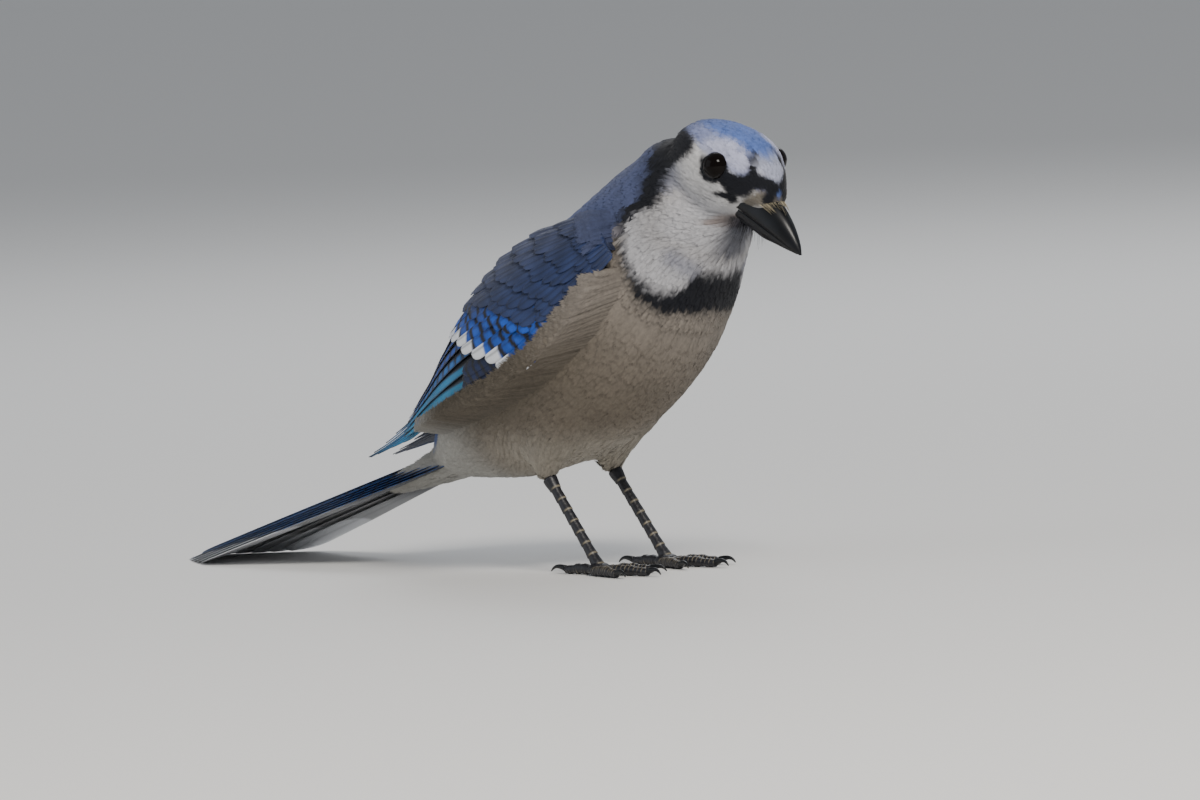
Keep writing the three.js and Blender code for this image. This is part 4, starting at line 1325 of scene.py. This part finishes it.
SKY = linear(40, 124, 196)
CYAN = linear(34, 140, 186)
COVERT_BLUE = linear(16, 84, 190)
DULL_BLUE = linear(38, 54, 96)
DEEP_BLUE = linear(12, 34, 80)
SCAPULAR = linear(60, 68, 98)
FEATHER_BLACK = linear(10, 12, 20)
FEATHER_WHITE = linear(238, 240, 244)
FEATHER_GREY = linear(146, 147, 150)
PALE_GREY = linear(186, 188, 194)


def outline_width(v, tip=0.16, root=0.5):
    """Share of a feather's full half width at share v of its length."""
    grown = mix(root, 1.0, smooth(0, 0.55, v))
    end = np.sqrt(np.clip(1 - (np.clip(v - (1 - tip), 0, tip) / tip) ** 2, 0, 1))
    return grown * np.maximum(end, 0.08)


def bars(along, period, share, phase, across):
    """Black bars across a vane, bowed towards its root at the edges: 1 on a bar."""
    wave = (along + phase + 0.35 * np.abs(across)) / period
    off = np.abs((wave % 1) - 0.5) * 2
    return 1 - smooth(share - 0.12, share + 0.12, off)


def tip_share(run, edge, soft):
    """1 beyond edge, 0 before it."""
    return smooth(edge - soft, edge + soft, run)[..., None]


def covert_colour(length, phase, blue, dull, barred=0, white_tip=0):
    """A covert: blue, duller towards its upper side."""

    def colour(share, run, width, top):
        blue_web = mix(blue, dull, np.clip(-share, 0, 1)[..., None] * 0.7)
        c = blue_web * (0.92 + 0.16 * np.sin(run * 0.7 + phase))[..., None]
        if barred:
            c = mix(c, FEATHER_BLACK, bars(run - length, barred, 0.34, phase, width)[..., None])
        if white_tip:
            c = mix(c, FEATHER_WHITE, tip_share(run, length - white_tip, 0.5))
        shaft = np.exp(-((width / 0.35) ** 2))[..., None]
        c = mix(c, FEATHER_BLACK, shaft * 0.45)
        return c if top else c * 0.6

    return colour


def flight_colour(length, phase, blue, barred=0, white_tip=0, inner=FEATHER_BLACK):
    """A secondary or primary: coloured outer web below the shaft, dark inner web above it."""

    def colour(share, run, width, top):
        outer = blue * (0.9 + 0.12 * np.sin(run * 0.25 + phase))[..., None]
        if barred:
            outer = mix(outer, FEATHER_BLACK, bars(run - length, barred, 0.3, phase, width)[..., None])
        c = mix(np.broadcast_to(inner, outer.shape), outer, smooth(-0.06, 0.06, share)[..., None])
        # Painted shade: the outer web turns dark along its free edge, a line between one feather's stripe and
        # the next.
        c = mix(c, FEATHER_BLACK, smooth(0.86, 0.98, share)[..., None] * 0.85)
        if white_tip:
            c = mix(c, FEATHER_WHITE, tip_share(run, length - white_tip, 0.6))
        c = mix(c, FEATHER_BLACK, np.exp(-((width / 0.3) ** 2))[..., None] * 0.8)
        return c if top else mix(c, FEATHER_GREY, 0.6)

    return colour


FLIGHT_THICKNESS = 0.4
COVERT_THICKNESS = 0.35


def wing_blade(vanes, start, end, wide, lifts, thickness, make_colour, roll=0.1, rows=60, tip=0.16):
    """A feather on the right wing from (a, b) to (a, b), as wide as wide times a lane."""
    v = np.linspace(0, 1, rows)
    a, b = mix(start[0], end[0], v), mix(start[1], end[1], v)
    lift = mix(lifts[0], lifts[1], v**0.8)
    middle, normal = wing_surface(a, b, lift)
    here, _ = wing_surface(a, b, 0 * a)
    there, _ = wing_surface(a, b + 0.05, 0 * a)
    lane = np.linalg.norm(there - here, axis=1) / 0.05
    half = wide * lane * outline_width(v, tip)
    along = unit(np.gradient(middle, axis=0))
    across = unit(np.cross(normal, along))
    rolled = unit(normal * math.cos(roll) + across * -math.sin(roll))
    length = np.linalg.norm(np.diff(middle, axis=0), axis=1).sum()
    vanes.add(middle, rolled, half, thickness, make_colour(length))


def greater_tip(b):
    """How far along the wing the white tips of the greater coverts lie, from the upper edge to the lower."""
    return mix(0.56, 0.235, b)


def wing_vanes():
    """Every feather of the right wing, from the lower layers outwards."""
    vanes = Vanes()
    rng = np.random.RandomState(21)

    flight = partial(wing_blade, vanes, thickness=FLIGHT_THICKNESS)
    covert = partial(wing_blade, vanes, thickness=COVERT_THICKNESS)

    # Primaries, each from its root to its tip
    primaries = [
        ((0.44, 0.97), (0.80, 0.97)),
        ((0.44, 0.92), (0.87, 0.90)),
        ((0.44, 0.86), (0.94, 0.82)),
        ((0.45, 0.80), (0.985, 0.72)),
        ((0.45, 0.74), (1.0, 0.60)),
        ((0.46, 0.68), (0.96, 0.48)),
        ((0.46, 0.62), (0.90, 0.38)),
        ((0.46, 0.56), (0.85, 0.28)),
    ]
    for k, (start, end) in enumerate(primaries):
        level = -2.6 + 0.22 * k
        make = partial(flight_colour, phase=k, blue=mix(CYAN, SKY, k / 7))
        flight(start, end, 0.105, (level, level + 1.7), make_colour=make, roll=0.14, tip=0.2)

    # Secondaries, then tertials
    for k in range(8):
        b = mix(0.94, 0.26, k / 7)
        tip_a = mix(0.76, 0.70, k / 7) + 0.006 * math.sin(2 * k)
        level = -1.5 + 0.16 * k
        blue = mix(CYAN, COVERT_BLUE, smooth(0.2, 0.6, k / 7))
        barred = 0 if k < 3 else 5.2
        white = 0 if k < 4 else 5.5
        make = partial(flight_colour, phase=k * 1.3, blue=blue, barred=barred, white_tip=white)
        flight((0.33, b), (tip_a, b), 0.095, (level, level + 1.9), make_colour=make, roll=0.14)
    for k in range(3):
        b = mix(0.2, 0.05, k / 2)
        make = partial(
            flight_colour, phase=k * 1.7, blue=COVERT_BLUE, barred=5.0, white_tip=5.0, inner=DEEP_BLUE
        )
        flight((0.34, b), (mix(0.72, 0.64, k / 2), b), 0.11, (0.0, 1.9), make_colour=make)

    # Primary coverts, dark and barred
    for k in range(5):
        b = mix(0.98, 0.8, k / 4)
        make = partial(covert_colour, phase=k * 1.9, blue=DEEP_BLUE, dull=FEATHER_BLACK, barred=3.6)
        covert((0.22, b), (0.4 - 0.008 * k, b), 0.06, (-0.8, 0.9), make_colour=make, roll=0.12, rows=40)

    # Greater coverts with bars and white tips, then median coverts
    for k in range(13):
        b = mix(0.98, 0.02, k / 12)
        tip_a = greater_tip(b) + 0.006 * math.sin(k * 2.1)
        make = partial(
            covert_colour, phase=k * 2.3, blue=COVERT_BLUE, dull=FEATHER_BLACK, barred=5.2, white_tip=6.4
        )
        covert((tip_a - 0.19, b), (tip_a, b), 0.062, (-0.6, 1.5), make_colour=make, roll=0.12, tip=0.12)
    for k in range(14):
        b = mix(0.98, 0.02, (k + 0.5) / 14)
        tip_a = greater_tip(b) - 0.1 + 0.005 * math.sin(k * 3)
        blue = mix(COVERT_BLUE, DULL_BLUE, smooth(0.7, 0.3, b))
        barred = 4.6 if b > 0.3 else 0
        make = partial(covert_colour, phase=k * 1.1, blue=blue, dull=DULL_BLUE * 0.6, barred=barred)
        root_a = max(0.0, tip_a - 0.14)
        covert((root_a, b), (tip_a, b), 0.06, (-0.2, 1.8), make_colour=make, rows=50, tip=0.2)

    # Small dull rows up to the shoulder
    for row in range(6):
        count = 15 - row % 2
        for k in range(count):
            b = mix(0.98, 0.02, (k + 0.5 * rng.rand()) / count)
            tip_a = max(0.04, (greater_tip(b) - 0.1) * (0.87 - 0.14 * row) + 0.006 * rng.randn())
            blue = mix(SCAPULAR, DULL_BLUE, smooth(0.2, 0.6, b)) * (0.85 + 0.3 * rng.rand())
            make = partial(covert_colour, phase=k, blue=blue, dull=blue * 0.75)
            root_a = max(-0.02, tip_a - 0.09)
            covert((root_a, b), (tip_a, b), 0.058, (-0.3, 2.0), make_colour=make, rows=24, tip=0.3)
    return vanes


TAIL_STEP = 0.85
TAIL_HALF_WIDTH = 6.4
TAIL_TOP = 2.0
TAIL_THICKNESS = 0.5


def tail_point(along, across, lift):
    height = -0.003 * across**2 + lift
    return TAIL_ROOT + along[:, None] * TAIL_BACK + height[:, None] * TAIL_UP + across[:, None] * TO_THE_LEFT


def tail_colour(pair, side, length):
    white = [0, 9, 18, 26, 32, 38][pair]

    def colour(share, run, width, top):
        outward = -share * side
        blue = mix(SKY, COVERT_BLUE, 0.55) * (0.95 + 0.1 * np.sin(run * 0.2))[..., None]
        blue = mix(blue, FEATHER_BLACK, bars(run - length, 5.4, 0.22, pair, width)[..., None])
        inner = mix(FEATHER_BLACK, DEEP_BLUE, 0.3)
        web = smooth(-0.05, 0.05, outward) if pair else np.ones_like(outward)
        c = mix(np.broadcast_to(inner, blue.shape), blue, web[..., None])
        # The underside darkens towards the root: partly the feathers' own darker bases, partly painted shadow
        # of the body.
        under = mix(linear(44, 46, 54), FEATHER_GREY, smooth(0.3, 0.5, run / length)[..., None])
        c = c if top else np.broadcast_to(under, c.shape)
        if white:
            edge = length - white + 3 * np.abs(share)
            tone = FEATHER_WHITE if top else mix(FEATHER_WHITE, PALE_GREY, 0.35)
            c = mix(c, tone, tip_share(run, edge, 1.2))
        elif top:
            c = mix(c, FEATHER_BLACK, smooth(length - 6, length - 2, run)[..., None] * 0.5)
        return mix(c, FEATHER_BLACK, np.exp(-((width / 0.45) ** 2))[..., None] * (0.8 if top else 0.3))

    return colour


def tail_vanes():
    vanes = Vanes()
    for pair in range(6):
        for side in (1, -1):
            length = TAIL_LENGTH - 2.2 * pair**1.35
            end = 1.2 if pair == 0 else TAIL_HALF_WIDTH + 0.3 + 2.9 * (pair - 1)
            root = 0.3 if pair == 0 else 2.9 + 0.75 * (pair - 1)
            level = (0 if side > 0 else 1) if pair == 0 else pair + 1
            v = np.linspace(0, 1, 90)
            run = mix(5.0, length, v)
            across = side * mix(root, end, v)
            middle = tail_point(run, across, TAIL_TOP - TAIL_STEP * level)
            tilt = -0.006 * across
            normal = TAIL_UP * np.cos(tilt)[:, None] + TO_THE_LEFT * np.sin(-tilt)[:, None]
            half = TAIL_HALF_WIDTH * np.interp(v, [0, 0.35, 0.66, 0.86], [0.4, 0.7, 0.95, 1.0])
            half = half * outline_width(v, tip=0.11, root=1.0)
            middle[:, 2] = np.maximum(middle[:, 2], 0.35)
            colour_of = tail_colour(pair, side, run[-1] - run[0])
            vanes.add(middle, normal, half, TAIL_THICKNESS, colour_of, camber=0.05)
    return vanes


# Bill, eyes and feet

SIDES = [(-1, "right"), (1, "left")]


def bill_half(rows, lower):
    count, arch = 46, 22
    sign = -1 if lower else 1
    t = np.linspace(0, 1, count)
    x, side, height = blend_rows(rows, t).T
    dip = -1.1 * (x / BILL_LENGTH) ** 4
    angle = np.linspace(0, np.pi, arch)
    ridge = np.sin(angle) ** 0.85
    flare = np.cos(angle)
    rings = np.empty((count, arch, 3))
    rings[..., 0] = x[:, None]
    rings[..., 1] = side[:, None] * flare[None] * (1 - 0.12 * ridge[None])
    rings[..., 2] = dip[:, None] + sign * (0.18 + height[:, None] * ridge[None])
    first, last = rings[0].mean(0), rings[-1].mean(0) + [0.4, 0, 0]
    points, faces = tube(rings, first, last)
    points = points @ turn("Y", BILL_DROP_DEG).T + BILL_ROOT
    return from_head(points), faces


def build_bill(material):
    for name, rows, lower in [("bill_top", UPPER_BILL, False), ("bill_bottom", LOWER_BILL, True)]:
        half = closed_object(name, *bill_half(rows, lower))
        dress(half, material, "horn", "bill_lower" if lower else "bill_upper")


def lid_ring(side):
    """A thin bare ring round the eye, a little beaded."""
    count, round_count = 72, 10
    turnings = np.linspace(0, 2 * np.pi, count, endpoint=False)
    around = np.linspace(0, 2 * np.pi, round_count, endpoint=False)
    thick = 0.28 + 0.04 * np.sin(turnings * 24)
    big = EYE_RADIUS - 0.95 + thick[:, None] * np.cos(around)[None]
    ring = np.empty((count, round_count, 3))
    ring[..., 0] = np.cos(turnings)[:, None] * big * 1.04
    ring[..., 2] = np.sin(turnings)[:, None] * big * 0.96
    ring[..., 1] = thick[:, None] * np.sin(around)[None]
    ring = ring @ turn("Z", -14 * side).T @ turn("X", 6 * side).T
    ring = ring + np.array([EYE_PLACE[0] + 0.3, side * (EYE_PLACE[1] + 2.3), EYE_PLACE[2]])
    return from_head(ring.reshape(-1, 3)), grid_torus(count, round_count)


def grid_torus(rows, columns):
    r, c = np.meshgrid(np.arange(rows), np.arange(columns), indexing="ij")
    nr, nc = (r + 1) % rows, (c + 1) % columns
    quads = np.stack([r * columns + c, r * columns + nc, nr * columns + nc, nr * columns + c], -1)
    return [tuple(f) for f in quads.reshape(-1, 4)]


def build_eyes(eye_look, lid_look):
    for side, word in SIDES:
        centre = from_head(EYE_PLACE * [1, side, 1])
        ball = closed_object("eyeball_" + word, *sphere(centre, EYE_RADIUS))
        dress(ball, eye_look, "eye", "eye_" + word)
        lid = closed_object("lid_" + word, *lid_ring(side))
        dress(lid, lid_look, "horn")


FOOT_BLACK = linear(28, 28, 34)
FOOT_HIGHLIGHT = linear(150, 140, 118)


def scute_tints(rings, edge):
    """Dark scales with a painted highlight along their edge on the upper side, where edge is 1."""
    shade = np.repeat(edge[:, None], rings.shape[1], 1)
    angle = np.linspace(0, 2 * np.pi, rings.shape[1], endpoint=False)
    upper = smooth(-0.2, 0.6, np.cos(angle - np.pi / 2))
    # Painted highlight: the scales' edges turn pale only on their upper side, which faces the light.
    c = mix(FOOT_BLACK, FOOT_HIGHLIGHT, (shade * upper[None] * 0.8)[..., None])
    return np.vstack([c.reshape(-1, 3), c[0, :1], c[-1, :1]])


def shank_tube(side):
    heel = HEEL * [1, side, 1] + [0.5, 0, -1]
    ball = np.array([FOOT[0], side * FOOT[1], 2.3])
    share = np.linspace(0, 1, 113)
    points = heel + (ball - heel) * share[:, None]
    joint = 0.75 * np.exp(-((share / 0.09) ** 2)) + 0.35 * np.exp(-(((1 - share) / 0.12) ** 2))
    phase = (share * 8) % 1
    step = 0.22 * phase
    edge = smooth(0.78, 0.95, phase)
    rings = limb_rings(points, SHANK_RADIUS + joint + step, 20)
    return tube(rings), scute_tints(rings, edge)


def toe_line(across, turned, length, side):
    inward = -side
    angle = math.radians(turned) * inward
    along = np.array([math.cos(angle), math.sin(angle), 0])
    root = np.array([FOOT[0], side * FOOT[1] + inward * across, TOE_RADIUS - 0.1])
    start = root + along * (0.6 if turned == 180 else 0.3)
    return along, start, root + along * ((1.5 if turned == 180 else 1.2) + length)


# Toes: name, offset towards the other foot, angle turned inwards, length
TOES = [
    ("hind", 0, 180, 12.5),
    ("inner", 2.75, 20, 13.5),
    ("middle", 0, 0, 19.5),
    ("outer", -2.75, -17, 14.5),
]
CLAW_LENGTH = 5.8
HIND_CLAW_LENGTH = 7.2
LEAST_HEIGHT = 0.02


def toe_tube(across, turned, length, side):
    _, start, end = toe_line(across, turned, length, side)
    share = np.linspace(0, 1, 97)
    pads, scutes = 4, 12
    arched = np.sin(np.pi * share) ** 2
    points = start + (end - start) * share[:, None]
    points[:, 2] += 0.45 * arched
    phase = (share * scutes) % 1
    swell = -0.12 * np.cos(2 * np.pi * pads * share)
    radii = TOE_RADIUS * mix(1, 0.8, share) + 0.25 * arched + swell + 0.14 * phase
    rings = limb_rings(points, radii, 18)
    rings[..., 2] = np.maximum(rings[..., 2], LEAST_HEIGHT)
    return tube(rings), scute_tints(rings, smooth(0.75, 0.95, phase))


def claw_tube(across, turned, length, side, long):
    along, _, end = toe_line(across, turned, length, side)
    share = np.linspace(0, 1, 24)
    points = end + along * (0.1 + long * np.sin(1.35 * share)[:, None] / 1.1)
    points[:, 2] += 0.35 + 0.9 * np.sin(np.pi * np.minimum(1, share * 1.1)) - 0.9 * share
    rings = limb_rings(points, mix(1.0, 0.12, share**0.9), 14)
    rings[..., 2] = np.maximum(rings[..., 2], LEAST_HEIGHT)
    return tube(rings)


def nodes_of(kind, word):
    return ["%s_%s_%s" % (kind, toe[0], word) for toe in TOES]


def build_feet(scale_look, horn_look):
    for side, word in SIDES:
        knuckle_place = np.array([FOOT[0], side * FOOT[1], 1.7])
        knuckle, knuckle_faces = sphere(knuckle_place, [2.9, 4.1, 2.1], 32, 16)
        knuckle[:, 2] = np.maximum(knuckle[:, 2], LEAST_HEIGHT)
        tubes = [shank_tube(side)] + [toe_tube(*toe[1:], side) for toe in TOES]
        tints = [t for _, t in tubes] + [np.tile(FOOT_BLACK, (len(knuckle), 1))]
        points, faces = joined([t for t, _ in tubes] + [(knuckle, knuckle_faces)])
        foot = closed_object("foot_" + word, points, faces, np.vstack(tints))
        dress(foot, scale_look, "scaled", "shank_" + word, *nodes_of("toe", word))
        lengths = [HIND_CLAW_LENGTH if toe[0] == "hind" else CLAW_LENGTH for toe in TOES]
        tubes = [claw_tube(*toe[1:], side, length) for toe, length in zip(TOES, lengths)]
        claws = closed_object("claws_" + word, *joined(tubes))
        dress(claws, horn_look, "horn", *nodes_of("claw", word))


# Bristles over the nostrils and under the chin


def hairs(name, roots, ways, lengths, width, colours, material):
    """Thin curved three-sided hairs."""
    steps = 6
    points, faces, tints = [], [], []
    base = 0
    for root, way, length, colour in zip(roots, ways, lengths, colours):
        share = np.linspace(0, 1, steps)
        line = root + way[0] * (share * length)[:, None] + way[1] * (share**2 * length)[:, None]
        radius = width * (1 - 0.85 * share)
        along = unit(np.gradient(line, axis=0))
        side = unit(np.cross(along, [0.3, 0.2, 1.0]))
        other = np.cross(along, side)
        for k in range(3):
            angle = 2 * np.pi * k / 3
            points.append(line + (side * math.cos(angle) + other * math.sin(angle)) * radius[:, None])
        for k in range(3):
            for s in range(steps - 1):
                a, b = base + k * steps + s, base + ((k + 1) % 3) * steps + s
                faces.append((a, b, b + 1, a + 1))
        tints.append(np.tile(colour, (3 * steps, 1)))
        base += 3 * steps
    obj = new_object(name, np.vstack(points), np.array(faces), np.vstack(tints))
    dress(obj, material, "plumage_grey")


NOSTRIL_BRISTLES = 420
CHIN_BRISTLES = 90
BUFF = linear(190, 178, 148)


def on_bill(x, degrees, side, lift):
    """A place on the upper bill, x ahead of its root, degrees up from the mouth line, in the head's axes."""
    wide = np.interp(x, UPPER_BILL[:, 0], UPPER_BILL[:, 1])
    high = np.interp(x, UPPER_BILL[:, 0], UPPER_BILL[:, 2])
    a = math.radians(degrees)
    out = unit(np.array([0, side * math.cos(a) / wide, math.sin(a) / high]))
    place = np.array([x, side * math.cos(a) * wide, math.sin(a) ** 0.85 * high]) + out * lift
    return place @ turn("Y", BILL_DROP_DEG).T + BILL_ROOT


def build_bristles(material):
    rng = np.random.RandomState(3)
    roots, ways, lengths, colours = [], [], [], []
    for side in (-1, 1):
        for _ in range(NOSTRIL_BRISTLES):
            high = rng.uniform(34, 92)
            x = rng.uniform(-1.5, 4.5) + 3.5 * smooth(60, 90, high)
            reach = rng.uniform(4.5, 8)
            start = on_bill(x, high, side, 0.1)
            middle = on_bill(x + reach / 2, high + 5, side, 0.7)
            end = on_bill(x + reach, high + 9, side, 0.35)
            # The hair is root + way * t + curl * t squared, through middle at t = 1/2 and end at t = 1
            way = 4 * middle - 3 * start - end
            roots.append(from_head(start))
            ways.append((way @ HEAD_TURN.T, (end - start - way) @ HEAD_TURN.T))
            lengths.append(1.0)
            colours.append(BUFF if rng.rand() < 0.5 * smooth(88, 55, high) + 0.1 else BLACK)
    hairs("nostril_bristles", roots, ways, lengths, 0.11, colours, material)
    roots, ways, lengths, colours = [], [], [], []
    for _ in range(CHIN_BRISTLES):
        side = rng.uniform(-1, 1)
        root = np.array([rng.uniform(5, 13), side * 4.6, -12.6 + 1.8 * side * side])
        out = unit(np.array([0.55, side * 0.5, -0.8]))
        roots.append(from_head(root))
        ways.append((out @ HEAD_TURN.T, np.array([-0.2, 0, -0.25]) @ HEAD_TURN.T))
        lengths.append(rng.uniform(2.5, 7))
        colours.append(BLACK)
    hairs("chin_bristles", roots, ways, lengths, 0.09, colours, material)


# Stage


def add_stage():
    size = 4.0  # metres
    mesh = bpy.data.meshes.new("floor")
    corners = [(-size, -size, 0), (size, -size, 0), (size, size, 0), (-size, size, 0)]
    mesh.from_pydata(corners, [], [(0, 1, 2, 3)])
    floor = bpy.data.objects.new("floor", mesh)
    bpy.context.scene.collection.objects.link(floor)
    material, _, shader = new_material("floor")
    shader.inputs["Base Color"].default_value = (0.82, 0.81, 0.79, 1)
    shader.inputs["Roughness"].default_value = 0.85
    mesh.materials.append(material)
    world = bpy.data.worlds.new("World")
    world.use_nodes = True
    world.node_tree.nodes["Background"].inputs["Color"].default_value = (0.78, 0.82, 0.88, 1)
    world.node_tree.nodes["Background"].inputs["Strength"].default_value = 0.42
    bpy.context.scene.world = world
    middle = put(np.array([-40, 0, 70.0]))
    lamp("Key", middle + np.array([1.2, -0.6, 1.2]), middle, 0.5, 24, (1.0, 0.95, 0.88))
    lamp("Fill", middle + np.array([-0.9, -1.5, 0.6]), middle, 1.4, 5, (0.9, 0.95, 1.0))
    lamp("Rim", middle + np.array([-0.7, 1.1, 1.1]), middle, 0.9, 9, (0.95, 0.97, 1.0))


def lamp(name, place, target, size, power, colour):
    data = bpy.data.lights.new(name, "AREA")
    data.size = size
    data.energy = power
    data.color = colour
    obj = bpy.data.objects.new(name, data)
    obj.location = Vector(place)
    obj.rotation_euler = Vector(target - place).to_track_quat("-Z", "Y").to_euler()
    bpy.context.scene.collection.objects.link(obj)


add_camera()
add_stage()
skin_object = build_skin()
skin_surface = Surface(skin_object.data)
markings = Markings(skin_surface)
# The skin takes the plumage's colours darkened to 0.8: painted shade in the gaps under the coat.
add_colours(skin_object.data, markings.colour(skin_surface.points) * 0.8)
feather_look = plumage_material()
skin_object.data.materials.append(feather_look)
build_coat(skin_surface, markings, feather_look)
blade_look = vane_material()
wing_vanes().finish("wing_feathers_right", blade_look, "wing_right")
wing_vanes().finish("wing_feathers_left", blade_look, "wing_left", mirror=True)
tail_vanes().finish("tail_feathers", blade_look, "tail")
horn = horn_material()
build_bill(horn)
build_eyes(eye_material(), horn)
build_feet(scale_material(), horn)
build_bristles(feather_look)
